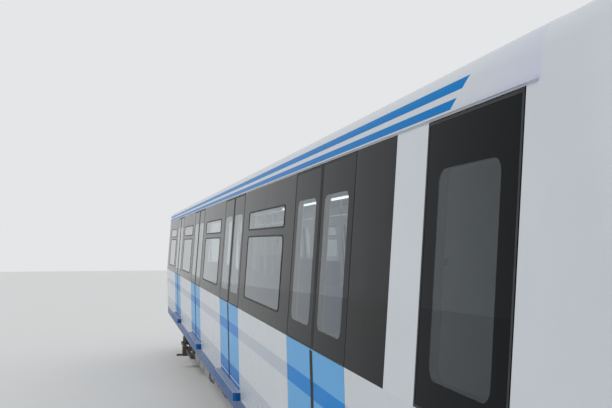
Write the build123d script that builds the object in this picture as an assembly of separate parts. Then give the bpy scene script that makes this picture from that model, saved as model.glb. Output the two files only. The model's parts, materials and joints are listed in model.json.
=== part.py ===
from build123d import *
import math
import os

# A metro driving car on two motor bogies, full size, in millimetres.
# +X is forward, towards the cab. -Y is the car's right-hand side. z = 0 is where the wheel flanges stand.

# Heights
flange_height = 28
floor_over_rail = 1100
sill_under_floor = 250
belt_over_floor = 825
cantrail_over_floor = 1973
roof_over_rail = 3430
ceiling_over_floor = 2130
rail_top = flange_height
floor_top = rail_top + floor_over_rail
sill_z = floor_top - sill_under_floor
belt_z = floor_top + belt_over_floor
cantrail_z = floor_top + cantrail_over_floor
roof_top = rail_top + roof_over_rail

# Body cross-section: widest at the belt, leaning in above it and tucked in below it
half_width_sill = 1325
half_width_belt = 1355
half_width_cantrail = 1275
crown_radius = 4800
shoulder_radius = 120
wall_thickness = 60
beyond = 120
seat_gap = 0.3

# Side wall from the rear end forwards. A window lies between every two doorways and behind the last one.
door_count = 4
rear_post_width = 680
window_width = 1600
window_post_width = 320
doorway_width = 1400
front_post_width = 600
pillar_width = 360
cab_door_width = 752
nose_post_width = 88
nose_module_length = 1000

# Windows: a fixed pane below, a hopper pane above a bar
window_bottom_over_floor = 950
window_bar_over_floor = 1540
window_bar_height = 50
window_top_over_floor = 1770
window_corner_radius = 60
hopper_corner_radius = 40
glass_thickness = 6

# Plug door leaves, their rubber seals and the ledge below them
door_side_gap = 6
door_head_gap = 6
leaf_meeting_gap = 8
leaf_thickness = 42
leaf_window_width = 500
seal_depth = 34
step_depth = 72
step_height = 80
step_overlap = 60
step_grooves = 5
step_groove_width = 6

# Cab side doors
cab_door_gap = 6
cab_door_bottom_gap = 10
cab_door_thickness = 45
cab_window_width = 500
hinge_over_floor = [250, 720, 1400]
hinge_half_height = 45
hinge_pin_radius = 9
knuckle_radius = 14
knuckle_clearance = 0.3
hinge_reach = 36

# Nose, in plan and in side view, with the apron below the sill and the ribs that stop a car riding up
nose_corner_radius = 420
nose_front_radius = 5200
nose_sill_set_back = 60
nose_rake = 0.245
apron_under_sill = 320
apron_gap_half_width = 520
apron_gap_height = 290
apron_gap_radius = 80
rib_count = 3
rib_pitch = 40
rib_height = 18
rib_reach = 45
rib_half_width = 620
rib_over_sill = 70

# Front panel, windscreen, sign and lamps, in front view
mask_half_width = 1190
mask_under_belt = 60
mask_over_cantrail = 190
mask_corner_radius = 140
windscreen_half_width = 1090
windscreen_over_belt = 60
windscreen_under_cantrail = 120
windscreen_corner_radius = 110
sign_half_width = 560
sign_gap = 60
sign_margin = 50
sign_corner_radius = 30
lamp_inner_y = 760
lamp_outer_y = 1220
lamp_under_belt = 430
lamp_height = 180
lamp_slope = 60
lamp_corner_radius = 50
lamp_depth = 28

# Windscreen wiper
wiper_y = 160
wiper_length = 780
wiper_width = 22
wiper_thickness = 10
wiper_stand_off = 18
wiper_spindle_radius = 18
blade_length = 480
blade_thickness = 14

# Floor, underframe and the bearers that carry the equipment cases
floor_thickness = 30
underframe_depth = 100
groove_width = 34
groove_depth = 22
groove_pitch = 290
groove_count = 8
bearer_depth = 60
bearer_width = 80
bearer_pitch = 600
bearer_from_pivot = 1900
jacking_pad_length = 200
jacking_pad_width = 170
jacking_pad_depth = 20
jacking_pad_y = 1130

# Saloon
ceiling_thickness = 20
duct_half_width = 340
duct_depth = 40
light_half_width = 60
light_offset = 620
light_depth = 14
light_end_gap = 100
seat_pitch = 460
seats_in_bench = 4
seat_height = 430
seat_depth = 430
seat_back_height = 470
seat_back_lean = 50
seat_shell_thickness = 26
seat_side_gap = 6
seat_carrier_depth = 70
bench_panel_thickness = 24
bench_panel_height = 1150
rail_radius = 17
rail_over_floor = 1880
rail_y = 780
pole_inset = 50

# Cab inside: the wall to the saloon with its door, the desk and the seat
bulkhead_thickness = 40
bulkhead_clearance = 20
bulkhead_door_width = 640
bulkhead_door_height = 1900
bulkhead_door_thickness = 30
bulkhead_door_gap = 6
bulkhead_hinge_over_floor = [220, 1700]
bulkhead_window_height = 700
bulkhead_window_width = 360
bulkhead_window_over_floor = 1080
desk_from_nose = 330
desk_depth = 520
desk_height = 780
desk_half_width = 900
desk_edge_radius = 30
console_height = 190
console_depth = 170
console_half_width = 560
driver_seat_from_nose = 1330
driver_seat_half_width = 240
driver_seat_half_length = 235
driver_seat_over_floor = 400
driver_cushion_thickness = 70
driver_cushion_radius = 18
driver_back_top = 1080
driver_back_lean = 60
pedestal_radius = 50
pedestal_foot_radius = 200
pedestal_foot_thickness = 30

# Gangway
gangway_width = 1300
gangway_height = 2000
gangway_depth = 300
gangway_frame_thickness = 24
gangway_bolt_radius = 9
bellows_wall = 150
bellows_folds = 6
bellows_dip = 30
fold_share = 0.6
bridge_thickness = 12

# Roof air units
air_unit_places = [0.27, 0.73]
air_unit_length = 2600
air_unit_half_width = 550
air_unit_height = 190
air_unit_end_slope = 160
air_unit_edge_radius = 70
fan_radius = 280
fan_offset = 640
fan_well_depth = 60
fan_hub_radius = 70
fan_bar_width = 14
fan_bars = 6
louvre_count = 16
louvre_width = 60
louvre_gap = 30
louvre_depth = 18
louvre_height = 80

# Bogies
bogie_spacing = 11900
wheelbase = 2100
wheel_radius = 430
wheel_back_to_back = 1360
rim_width = 135
rim_depth = 72
web_thickness = 32
web_root_height = 20
hub_overhang = 30
hub_radius = 135
flange_tip_inset = 16
flange_root_inset = 36
tread_taper = 3
axle_radius = 80
journal_radius = 65
journal_clearance = 0.5
axle_half_length = 1070
pivot_radius = 60
pivot_clearance = 0.5
pivot_bottom_over_rail = 470
pivot_flange_radius = 180
pivot_flange_thickness = 20
beam_inner_y = 900
beam_width = 170
beam_end_bottom_over_rail = 622
beam_middle_bottom_over_rail = 492
beam_top_over_rail = 672
beam_shoulder = 80
beam_half_flat = 380
beam_end_reach = 340
beam_corner_radius = 40
beam_to_casting = 20
transom_radius = 80
transom_offset = 190
centre_half_length = 270
centre_half_width = 260
spring_pad_radius = 200
spring_pad_thickness = 12
air_spring_radius = 230
air_spring_waist = 50
air_spring_shoulder = 90
axle_box_radius = 125
axle_box_side_gap = 5
axle_box_overhang = 15
shelf_half_length = 300
shelf_below_axle = 60
shelf_above_axle = 10
primary_offset = 225
primary_top_radius = 52
primary_bottom_radius = 70
primary_steps = 3
guard_reach = 170
guard_over_rail = 90
guard_thickness = 36

# Drives
motor_offset = 590
motor_radius = 195
motor_half_length = 330
motor_above_axle = 30
motor_bell_radius = 140
motor_bell_length = 45
motor_arm_under_top = 100
motor_arm_thickness = 60
gear_case_y = (400, 560)
gear_case_radius = 220
pinion_case_radius = 130
case_flange_width = 16
axle_clearance = 5
output_shaft_radius = 60

# Brakes and current collectors
shoe_gap = 6
shoe_thickness = 45
shoe_half_height = 110
brake_inset = 40
brake_cylinder_radius = 75
brake_cylinder_length = 195
push_rod_radius = 36
brake_hanger_width = 90
collector_depth = 60
collector_under_axle = 110
collector_arm_half_width = 90
collector_shoe_reach = 180
collector_shoe_thickness = 30

# Coupling gear
coupler_over_rail = 650
coupler_pivot_from_nose = 900
coupler_reach = 250
coupler_cone_length = 110
coupler_cone_radius = 62
coupler_cone_y = 75
coupler_pin_radius = 35
coupler_eye_radius = 80
coupler_head_size = 300
coupler_head_length = 240
coupler_box_height = 110
shank_radius = 55
drawbar_pivot_from_rear = 500
drawbar_flange_radius = 120
drawbar_flange_thickness = 30
drawbar_pcd = 180
drawbar_bolts = 4
drawbar_bolt_radius = 11
pocket_half_width = 160
pocket_half_length = 130
pocket_wall = 30
pocket_gap = 90

# Underfloor cases, from the first bearer forwards
case_half_width = 1130
case_top_gap = 40
case_edge = 35
case_lid_thickness = 12
case_lid_margin = 60
case_lids = 3
hanger_width = 60
hanger_y = 900
case_table = {
    # node: (start from the first bearer, length, height over the rail of its underside)
    "traction_inverter_case": (100, 2200, 412),
    "battery_case": (2450, 1400, 492),
    "auxiliary_converter_case": (5050, 1550, 452),
}
resistor_start = 6750
resistor_length = 1200
resistor_bottom_over_rail = 472
resistor_slots = 26
resistor_slot_width = 14
resistor_slot_depth = 60
reservoir_start = 3950
reservoir_length = 950
reservoir_radius = 165
reservoir_y = 760
compressor_half_width = 320
compressor_height = 330

# Places that follow from the sizes above
door_pitch = doorway_width + window_width + 2 * window_post_width
first_doorway = rear_post_width + window_width + window_post_width + doorway_width / 2
cab_zone = front_post_width + pillar_width + cab_door_width + nose_post_width + nose_module_length
body_length = first_doorway + (door_count - 1) * door_pitch + doorway_width / 2 + cab_zone
overall_length = gangway_depth + body_length + coupler_reach
rear_x = gangway_depth - overall_length / 2
nose_x = rear_x + body_length
nose_joint_x = nose_x - nose_module_length
door_centres = [rear_x + first_doorway + i * door_pitch for i in range(door_count)]
doorways = [(centre - doorway_width / 2, centre + doorway_width / 2) for centre in door_centres]
window_centres = [centre - door_pitch / 2 for centre in door_centres]
band_end_x = doorways[-1][1] + front_post_width
cab_hinge_x = band_end_x + pillar_width
cab_hinge_y = half_width_cantrail - cab_door_thickness
bulkhead_front_x = cab_hinge_x - cab_door_gap - hinge_reach - bulkhead_clearance
bulkhead_x = (bulkhead_front_x - bulkhead_thickness, bulkhead_front_x)
underframe_top = floor_top - floor_thickness
underframe_bottom = underframe_top - underframe_depth
case_ceiling = underframe_bottom - bearer_depth
apron_z = sill_z - apron_under_sill
window_bottom = floor_top + window_bottom_over_floor
window_bar_z = floor_top + window_bar_over_floor
window_top = floor_top + window_top_over_floor
ceiling_z = floor_top + ceiling_over_floor
axle_z = rail_top + wheel_radius
coupler_z = rail_top + coupler_over_rail
coupler_pivot_x = nose_x - coupler_pivot_from_nose
drawbar_pivot_x = rear_x + drawbar_pivot_from_rear
middle_x = rear_x + body_length / 2
bogie_centres = {"front": middle_x + bogie_spacing / 2, "rear": middle_x - bogie_spacing / 2}
bearer_first = bogie_centres["rear"] + bearer_from_pivot
bearer_last = bogie_centres["front"] - bearer_from_pivot
bearer_spaces = round((bearer_last - bearer_first) / bearer_pitch)
bearers = [bearer_first + i * (bearer_last - bearer_first) / bearer_spaces for i in range(bearer_spaces + 1)]
lean_above_belt = (half_width_belt - half_width_cantrail) / (cantrail_z - belt_z)
lean_below_belt = (half_width_belt - half_width_sill) / (belt_z - sill_z)


def block(x, y, z):
    """A box from its two ends along each axis, in any order."""
    spans = [sorted(span) for span in (x, y, z)]
    centre = [(low + high) / 2 for low, high in spans]
    return Pos(*centre) * Box(*[high - low for low, high in spans])


def round_bar(axis, radius, centre, ends):
    """A cylinder along X, Y or Z between two ends. centre holds its other two coordinates in order."""
    low, high = sorted(ends)
    bar = Cylinder(radius, high - low)
    middle = (low + high) / 2
    if axis == "X":
        return Pos(middle, *centre) * Rot(0, 90, 0) * bar
    if axis == "Y":
        return Pos(centre[0], middle, centre[1]) * Rot(90, 0, 0) * bar
    return Pos(*centre, middle) * bar


def polygon(points, radius=0):
    """A closed outline as a face, its corners rounded if a radius is given."""
    face = make_face(Polyline(*points, close=True))
    return fillet(face.vertices(), radius) if radius else face


def along_x(face, ends):
    """A (y, z) face extruded between two x values."""
    low, high = sorted(ends)
    return Pos(low, 0, 0) * extrude(Plane.YZ * face, high - low)


def along_y(face, ends):
    """An (x, z) face extruded between two y values."""
    low, high = sorted(ends)
    return Pos(0, high, 0) * extrude(Plane.XZ * face, high - low)


def joined(shapes):
    """All the shapes fused into one."""
    first, *others = shapes
    return first.fuse(*others) if others else first


def save(name, *shapes):
    """Writes the solids of one node as one STEP file."""
    solids = [solid for shape in shapes for solid in shape.solids()]
    export_step(Compound(children=solids), f"parts/{name}.step")


def half_width(z):
    """Half the body's outer width at a height."""
    lean = lean_above_belt if z > belt_z else -lean_below_belt
    return half_width_belt - lean * (z - belt_z)


def section(inset, low_z):
    """The body's cross-section above a height, drawn in by inset: leaning walls and an arched roof."""
    heights = [low_z, belt_z, roof_top + beyond] if low_z < belt_z else [low_z, roof_top + beyond]
    right = [(half_width(z) - inset, z) for z in heights]
    left = [(-y, z) for y, z in reversed(right)]
    crown = crown_radius - inset
    outline = polygon(right + left) & Pos(0, roof_top - inset - crown) * Circle(crown)
    shoulders = outline.vertices().sort_by(Axis.Y)[-2:]
    return fillet(shoulders, shoulder_radius - inset)


def nose_at(z):
    """The nose's foremost x at a height."""
    if z > belt_z:
        return nose_x - nose_rake * (z - belt_z)
    return nose_x - nose_sill_set_back * (belt_z - z) / (belt_z - sill_z)


def plan_outline(z, inset):
    """The nose seen from above at one height: straight sides, round corners and a slightly bowed front."""
    back_x = nose_joint_x - 2 * beyond
    width = half_width(z) - inset
    corner = nose_corner_radius - inset
    front = nose_front_radius - inset
    tip = nose_at(z) - inset
    offset = width - corner
    corner_x = tip - front + math.sqrt((front - corner) ** 2 - offset**2)
    turn = math.atan2(offset, corner_x - (tip - front))
    half_turn = (math.pi / 2 + turn) / 2
    bend = (corner_x + corner * math.cos(half_turn), offset + corner * math.sin(half_turn))
    join = (corner_x + corner * math.cos(turn), offset + corner * math.sin(turn))
    outline = [
        Line((back_x, -width), (corner_x, -width)),
        ThreePointArc((corner_x, -width), (bend[0], -bend[1]), (join[0], -join[1])),
        ThreePointArc((join[0], -join[1]), (tip, 0), join),
        ThreePointArc(join, bend, (corner_x, width)),
        Line((corner_x, width), (back_x, width)),
        Line((back_x, width), (back_x, -width)),
    ]
    return Pos(0, 0, z) * make_face(Curve() + outline)


def nose_form(inset):
    """The nose as a full solid, drawn in by inset: raked front, arched roof and round shoulders."""
    levels = [apron_z - inset, belt_z, roof_top + beyond]
    walls = loft([plan_outline(z, inset) for z in levels], ruled=True)
    crown = crown_radius - inset
    reach = (nose_joint_x - 3 * beyond, nose_x + beyond)
    form = walls & round_bar("X", crown, (0, roof_top - inset - crown), reach)
    back_x = nose_joint_x - 2 * beyond
    shoulders = [
        edge
        for edge in form.edges()
        if edge.bounding_box().min.Z > cantrail_z and edge.bounding_box().max.X - back_x > 1
    ]
    form = fillet(shoulders, shoulder_radius - inset)
    return form & block((nose_joint_x, nose_x), (-half_width_belt, half_width_belt), (0, roof_top))


def side_slab(side, x, z, outer, inner):
    """A piece of side wall between two insets from the body's outer face."""
    heights = [z[0], *([belt_z] if z[0] < belt_z < z[1] else []), z[1]]
    outside = [(side * (half_width(h) - outer), h) for h in heights]
    inside = [(side * (half_width(h) - inner), h) for h in reversed(heights)]
    return along_x(polygon(outside + inside), x)


def side_hole(side, x, z, radius):
    """A round-cornered prism through the side wall."""
    middle = ((x[0] + x[1]) / 2, (z[0] + z[1]) / 2)
    outline = Pos(*middle) * RectangleRounded(x[1] - x[0], z[1] - z[0], radius)
    return along_y(outline, (side * (half_width_cantrail - 2 * beyond), side * (half_width_belt + beyond)))


def around(middle, width):
    return (middle - width / 2, middle + width / 2)


def doorway_cut(side, x):
    return side_slab(side, x, (floor_top, cantrail_z), -beyond, beyond)


# Side walls, black panels and windows

panes = [
    # bottom, top, corner radius
    (window_bottom, window_bar_z, window_corner_radius),
    (window_bar_z + window_bar_height, window_top, hopper_corner_radius),
]


def cab_door_reach(side, gap):
    """The round free edge of the cab door, or of its opening, about the hinge line."""
    return round_bar("Z", cab_door_width + gap, (cab_hinge_x, side * cab_hinge_y), (sill_z, roof_top))


def hinge_lug(side, x, z, from_face):
    """A lug that stands in from the wall or leaf as far as the cab door's hinge line."""
    return side_slab(side, x, z, from_face, half_width(z[0]) - cab_hinge_y + knuckle_radius)


def hinge_spans(z):
    """The heights of a hinge's three knuckles: wall, leaf, wall."""
    third = hinge_half_height / 3
    wall_spans = [
        (z - hinge_half_height, z - third - knuckle_clearance),
        (z + third + knuckle_clearance, z + hinge_half_height),
    ]
    return wall_spans, (z - third, z + third)


def wall_hinges(side):
    """Two lugs and a pin at each hinge, standing in from the pillar behind the cab door."""
    made = []
    x = (cab_hinge_x - cab_door_gap - hinge_reach, cab_hinge_x + knuckle_radius)
    for level in hinge_over_floor:
        z = floor_top + level
        ends = (z - hinge_half_height, z + hinge_half_height)
        made.append(round_bar("Z", hinge_pin_radius, (cab_hinge_x, side * cab_hinge_y), ends))
        made += [hinge_lug(side, x, span, wall_thickness) for span in hinge_spans(z)[0]]
    return made


def leaf_hinges(side):
    """The middle knuckle of each hinge, standing in from the leaf and bored for the pin."""
    place = (cab_hinge_x, side * cab_hinge_y)
    made = []
    for level in hinge_over_floor:
        span = hinge_spans(floor_top + level)[1]
        lug = hinge_lug(side, (cab_hinge_x, cab_hinge_x + hinge_reach), span, cab_door_thickness)
        lug += round_bar("Z", knuckle_radius, place, span)
        bore = hinge_pin_radius + knuckle_clearance
        made.append(lug - round_bar("Z", bore, place, (span[0] - 1, span[1] + 1)))
    return made


def side_wall(side):
    """The white wall: all that is below the belt, and the cab's pillars above it."""
    wall = side_slab(side, (rear_x, nose_joint_x), (sill_z, belt_z), 0, wall_thickness)
    wall += side_slab(side, (band_end_x, nose_joint_x), (belt_z, cantrail_z), 0, wall_thickness)
    cuts = [doorway_cut(side, x) for x in doorways]
    cab_doorway = (cab_hinge_x - cab_door_gap, nose_joint_x)
    cuts.append(doorway_cut(side, cab_doorway) & cab_door_reach(side, cab_door_gap))
    return joined([wall - cuts, *wall_hinges(side)])


def window_band(side):
    """The black panels between the doors, each with its window cut."""
    band = side_slab(side, (rear_x, band_end_x), (belt_z, cantrail_z), 0, wall_thickness)
    cuts = [doorway_cut(side, x) for x in doorways]
    for centre in window_centres:
        for low, high, radius in panes:
            cuts.append(side_hole(side, around(centre, window_width), (low, high), radius))
    return band - cuts


def window_glass(side):
    """Flush panes, a hair smaller than their openings."""
    made = []
    for centre in window_centres:
        for low, high, radius in panes:
            x = around(centre, window_width - 2 * seat_gap)
            z = (low + seat_gap, high - seat_gap)
            made.append(side_slab(side, x, z, 0, glass_thickness) & side_hole(side, x, z, radius))
    return made


# Plug doors

leaf_width = (doorway_width - leaf_meeting_gap) / 2 - door_side_gap
leaf_top = cantrail_z - door_head_gap
leaf_z = (floor_top + seat_gap, leaf_top)


def leaf_spans(centre):
    """The two leaves of a doorway, rear one first."""
    near = leaf_meeting_gap / 2
    return [(centre - near - leaf_width, centre - near), (centre + near, centre + near + leaf_width)]


def door_leaf(side, x):
    """A plug door leaf. Above the belt its frame is set back behind the flush glass."""
    leaf = side_slab(side, x, (leaf_z[0], belt_z), 0, leaf_thickness)
    leaf += side_slab(side, x, (belt_z, leaf_top), glass_thickness, leaf_thickness)
    opening = around((x[0] + x[1]) / 2, leaf_window_width)
    return leaf - side_hole(side, opening, (window_bottom, window_top), window_corner_radius)


def door_glass(side, x):
    return side_slab(side, x, (belt_z, leaf_top), 0, glass_thickness)


def door_seal(side, centre):
    """Rubber round and between a doorway's leaves, set back behind their outer face."""
    x = around(centre, doorway_width - 2 * seat_gap)
    z = (leaf_z[0], cantrail_z - seat_gap)
    frame = side_slab(side, x, z, glass_thickness, seal_depth)
    cuts = []
    for low, high in leaf_spans(centre):
        grown = (low - seat_gap, high + seat_gap)
        cuts.append(side_slab(side, grown, (leaf_z[0] - 1, leaf_top + seat_gap), -beyond, beyond))
    return frame - cuts


def door_step(side, centre):
    """The ledge at a doorway that narrows the gap to the platform, grooved along its top."""
    face_y = half_width(floor_top)
    x = around(centre, doorway_width + 2 * step_overlap)
    y = (side * (face_y - beyond), side * (face_y + step_depth))
    ledge = block(x, y, (floor_top - step_height, floor_top))
    ledge = chamfer(ledge.edges().filter_by(Axis.Z).sort_by(Axis.Y)[:: side][-2:], step_depth / 3)
    cuts = [side_slab(side, (x[0] - 1, x[1] + 1), (sill_z, belt_z), 0, 2 * beyond)]
    for i in range(step_grooves):
        groove_y = side * (face_y + step_depth * (i + 1) / (step_grooves + 1))
        cuts.append(block(x, around(groove_y, step_groove_width), around(floor_top, step_groove_width)))
    return ledge - cuts


# Cab side doors

cab_door_z = (floor_top + cab_door_bottom_gap, leaf_top)
cab_door_x = (cab_hinge_x, cab_hinge_x + cab_door_width)


def cab_door(side):
    leaf = side_slab(side, cab_door_x, (cab_door_z[0], belt_z), 0, cab_door_thickness)
    leaf += side_slab(side, cab_door_x, (belt_z, cab_door_z[1]), glass_thickness, cab_door_thickness)
    opening = around(cab_hinge_x + cab_door_width / 2, cab_window_width)
    leaf -= side_hole(side, opening, (window_bottom, window_top), window_corner_radius)
    return joined([leaf & cab_door_reach(side, 0), *leaf_hinges(side)])


def cab_door_glass(side):
    return side_slab(side, cab_door_x, (belt_z, cab_door_z[1]), 0, glass_thickness) & cab_door_reach(side, 0)


# Nose: shell, black front panel, windscreen, sign and lamps

mask_bottom = belt_z - mask_under_belt
mask_top = cantrail_z + mask_over_cantrail
windscreen_bottom = belt_z + windscreen_over_belt
windscreen_top = cantrail_z - windscreen_under_cantrail
sign_bottom = windscreen_top + sign_gap
sign_top = mask_top - sign_margin
lamp_bottom = belt_z - lamp_under_belt
lamp_top = lamp_bottom + lamp_height


def ahead(points, radius, gap):
    """A round-cornered (y, z) outline, drawn in by a gap and extruded forward through the nose."""
    face = polygon(points, radius)
    return along_x(offset(face, -gap) if gap else face, (nose_joint_x + beyond, nose_x + beyond))


def upright(half, low, high, radius, gap=0):
    """A symmetric front outline that narrows towards its top as the body does."""
    narrow = half - lean_above_belt * (high - low)
    return ahead([(-half, low), (half, low), (narrow, high), (-narrow, high)], radius, gap)


def lamp_outline(side, gap=0):
    corners = [
        (side * lamp_inner_y, lamp_bottom),
        (side * lamp_outer_y, lamp_bottom + lamp_slope),
        (side * lamp_outer_y, lamp_top + lamp_slope),
        (side * lamp_inner_y, lamp_top),
    ]
    return ahead(corners, lamp_corner_radius, gap)


nose_outer = nose_form(0)
nose_inner = nose_form(wall_thickness)
nose_shell = nose_outer - nose_inner
mask_outline = (mask_half_width, mask_bottom, mask_top, mask_corner_radius)
windscreen_outline = (windscreen_half_width, windscreen_bottom, windscreen_top, windscreen_corner_radius)
sign_outline = (sign_half_width, sign_bottom, sign_top, sign_corner_radius)


def buffer_rib(index):
    """One rib across the nose above the sill."""
    z = sill_z + rib_over_sill + index * rib_pitch
    blade = extrude(plan_outline(z, -rib_reach), rib_height)
    reach = (nose_joint_x + beyond, nose_x + beyond)
    return blade & block(reach, (-rib_half_width, rib_half_width), (0, roof_top))


def cab_shell():
    """The nose's shell with its openings, the apron's gap for the coupler and the ribs."""
    gap_top = apron_z + apron_gap_height
    half = apron_gap_half_width
    gap_corners = [(-half, apron_z - beyond), (half, apron_z - beyond), (half, gap_top), (-half, gap_top)]
    gap = along_x(polygon(gap_corners, apron_gap_radius), (nose_joint_x - 1, nose_x + beyond))
    shell = nose_shell - [upright(*mask_outline), lamp_outline(-1), lamp_outline(1), gap]
    ribs = [buffer_rib(i) - nose_outer for i in range(rib_count)]
    return joined([shell, *ribs])


nose_glazing = nose_outer - nose_form(glass_thickness)
lamp_walls = nose_form(lamp_depth) - nose_inner
cab_mask = nose_shell & upright(*mask_outline, seat_gap)
cab_mask -= [upright(*windscreen_outline), upright(*sign_outline)]
windscreen = nose_glazing & upright(*windscreen_outline, seat_gap)
sign_glass = nose_glazing & upright(*sign_outline, seat_gap)
lamp_lenses = [nose_glazing & lamp_outline(side, seat_gap) for side in (-1, 1)]
lamp_housings = [lamp_walls & lamp_outline(side, seat_gap) for side in (-1, 1)]


def wiper():
    """An arm on a spindle, with a blade towards the glass."""
    foot_z = windscreen_bottom - windscreen_over_belt / 2
    arm = Pos(0, 0, wiper_length / 2) * Box(wiper_thickness, wiper_width, wiper_length)
    blade_middle = wiper_length - blade_length / 2
    blade = Pos(-blade_thickness / 2, 0, blade_middle) * Box(blade_thickness, wiper_width / 2, blade_length)
    spindle = Rot(0, 90, 0) * Cylinder(wiper_spindle_radius, 3 * wiper_stand_off)
    lean = math.degrees(math.atan(nose_rake))
    place = Pos(nose_at(foot_z) + wiper_stand_off, wiper_y, foot_z) * Rot(0, -lean, 0)
    return place * (arm + blade + spindle) - nose_outer


# Roof and roof air units

def roof():
    ring = section(0, cantrail_z) - section(wall_thickness, cantrail_z - 1)
    return along_x(ring, (rear_x, nose_joint_x))


def air_unit(centre):
    """A low casing on the arched roof: sloped ends, fan wells with guards, louvres along both sides."""
    top = roof_top + air_unit_height
    low = roof_top - air_unit_half_width**2 / crown_radius
    half = air_unit_length / 2
    side_view = polygon(
        [
            (centre - half, low),
            (centre + half, low),
            (centre + half - air_unit_end_slope, top),
            (centre - half + air_unit_end_slope, top),
        ]
    )
    casing = along_y(side_view, (-air_unit_half_width, air_unit_half_width))
    long_edges = casing.edges().filter_by(Axis.X).sort_by(Axis.Z)[-2:]
    casing = fillet(long_edges, air_unit_edge_radius)
    casing -= along_x(section(0, cantrail_z), (rear_x, nose_joint_x))
    cuts = []
    louvre_pitch = louvre_width + louvre_gap
    for i in range(louvre_count):
        x = centre + (i - (louvre_count - 1) / 2) * louvre_pitch
        for side in (-1, 1):
            y = (side * (air_unit_half_width - louvre_depth), side * (air_unit_half_width + 1))
            z = (roof_top - louvre_height / 4, roof_top + 3 * louvre_height / 4)
            cuts.append(block(around(x, louvre_width), y, z))
    guards = []
    for way in (-1, 1):
        place = (centre + way * fan_offset, 0)
        cuts.append(round_bar("Z", fan_radius, place, (top - fan_well_depth, top + 1)))
        guards.append(round_bar("Z", fan_hub_radius, place, (top - fan_well_depth, top)))
        for i in range(fan_bars):
            bar = Box(2 * fan_radius + fan_bar_width, fan_bar_width, fan_bar_width)
            guards.append(Pos(*place, top - fan_bar_width / 2) * Rot(0, 0, 180 * i / fan_bars) * bar)
    return joined([casing - cuts, *guards])


# Rear end wall and gangway

gangway_z = (floor_top, floor_top + gangway_height)


def end_wall():
    wall = along_x(section(wall_thickness, underframe_top), (rear_x, rear_x + wall_thickness))
    half = gangway_width / 2
    return wall - block((rear_x - 1, rear_x + wall_thickness + 1), (-half, half), gangway_z)


def gangway_ring(x, grow):
    """A round-cornered hoop of the gangway, its outside grown by grow."""
    half = gangway_width / 2
    margin = bellows_wall + grow
    size = (gangway_width + 2 * margin, gangway_height + 2 * margin)
    hoop = Pos(0, (gangway_z[0] + gangway_z[1]) / 2) * RectangleRounded(*size, bellows_wall)
    return along_x(hoop, x) - block((x[0] - 1, x[1] + 1), (-half, half), gangway_z)


gangway_face_x = rear_x - gangway_depth
bellows_x = (gangway_face_x + gangway_frame_thickness, rear_x)


def gangway_bellows():
    """A hoop with raised folds."""
    pitch = (bellows_x[1] - bellows_x[0]) / bellows_folds
    folds = []
    for i in range(bellows_folds):
        middle = bellows_x[0] + (i + 0.5) * pitch
        folds.append(gangway_ring(around(middle, pitch * fold_share), 0))
    return joined([gangway_ring(bellows_x, -bellows_dip), *folds])


def gangway_frame():
    """The flat hoop at the car's end, with a bolt hole near each corner."""
    frame = gangway_ring((gangway_face_x, bellows_x[0]), bellows_dip)
    cuts = []
    for y in (-1, 1):
        for z in (gangway_z[0] - bellows_wall / 2, gangway_z[1] + bellows_wall / 2):
            place = (y * (gangway_width + bellows_wall) / 2, z)
            cuts.append(round_bar("X", gangway_bolt_radius, place, (gangway_face_x - 1, bellows_x[0] + 1)))
    return frame - cuts


def bridge_plate():
    half = gangway_width / 2 - seat_gap
    z = (floor_top + seat_gap, floor_top + bridge_thickness)
    return block((bellows_x[0], rear_x + wall_thickness), (-half, half), z)


# Floor, underframe, pivots and coupler pockets

floor_half_width = half_width_sill - wall_thickness - seat_gap


def floor():
    x = (rear_x + wall_thickness, nose_joint_x)
    return block(x, (-floor_half_width, floor_half_width), (underframe_top, floor_top))


def underframe():
    """The deck under the floor, grooved along its underside."""
    x = (rear_x, nose_joint_x)
    deck = block(x, (-floor_half_width, floor_half_width), (underframe_bottom, underframe_top))
    cuts = []
    for i in range(groove_count):
        y = around((i - (groove_count - 1) / 2) * groove_pitch, groove_width)
        cuts.append(block((x[0] - 1, x[1] + 1), y, (underframe_bottom - 1, underframe_bottom + groove_depth)))
    return deck - cuts


def cross_bearer(x):
    """A bearer under the deck. The first and the last also carry a jacking pad on each side."""
    width = (-floor_half_width, floor_half_width)
    pieces = [block(around(x, bearer_width), width, (case_ceiling, underframe_bottom))]
    if x in (bearers[0], bearers[-1]):
        for side in (-1, 1):
            y = around(side * jacking_pad_y, jacking_pad_width)
            z = (case_ceiling - jacking_pad_depth, underframe_bottom)
            pieces.append(block(around(x, jacking_pad_length), y, z))
    return joined(pieces)


def cab_deck():
    reach = (nose_joint_x, nose_x)
    return nose_inner & block(reach, (-half_width_belt, half_width_belt), (underframe_bottom, floor_top))


def bogie_pivot(x):
    """The pin that turns in the bogie, with its flange under the deck."""
    pin = round_bar("Z", pivot_radius, (x, 0), (rail_top + pivot_bottom_over_rail, underframe_bottom))
    flange = (underframe_bottom - pivot_flange_thickness, underframe_bottom)
    return pin + round_bar("Z", pivot_flange_radius, (x, 0), flange)


def coupler_pocket(x, back):
    """Two lugs and a pin under the deck, closed by a plate on the side away from the coupler."""
    low = coupler_z - pocket_gap - pocket_wall
    length = around(x, 2 * pocket_half_length)
    width = (-pocket_half_width, pocket_half_width)
    plate_x = x + back * pocket_half_length
    return joined(
        [
            block(length, width, (low, coupler_z - pocket_gap)),
            block(length, width, (coupler_z + pocket_gap, underframe_bottom)),
            block((plate_x, plate_x + back * pocket_wall), width, (low, underframe_bottom)),
            round_bar("Z", coupler_pin_radius, (x, 0), (low, coupler_z + pocket_gap)),
        ]
    )


# Saloon

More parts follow.
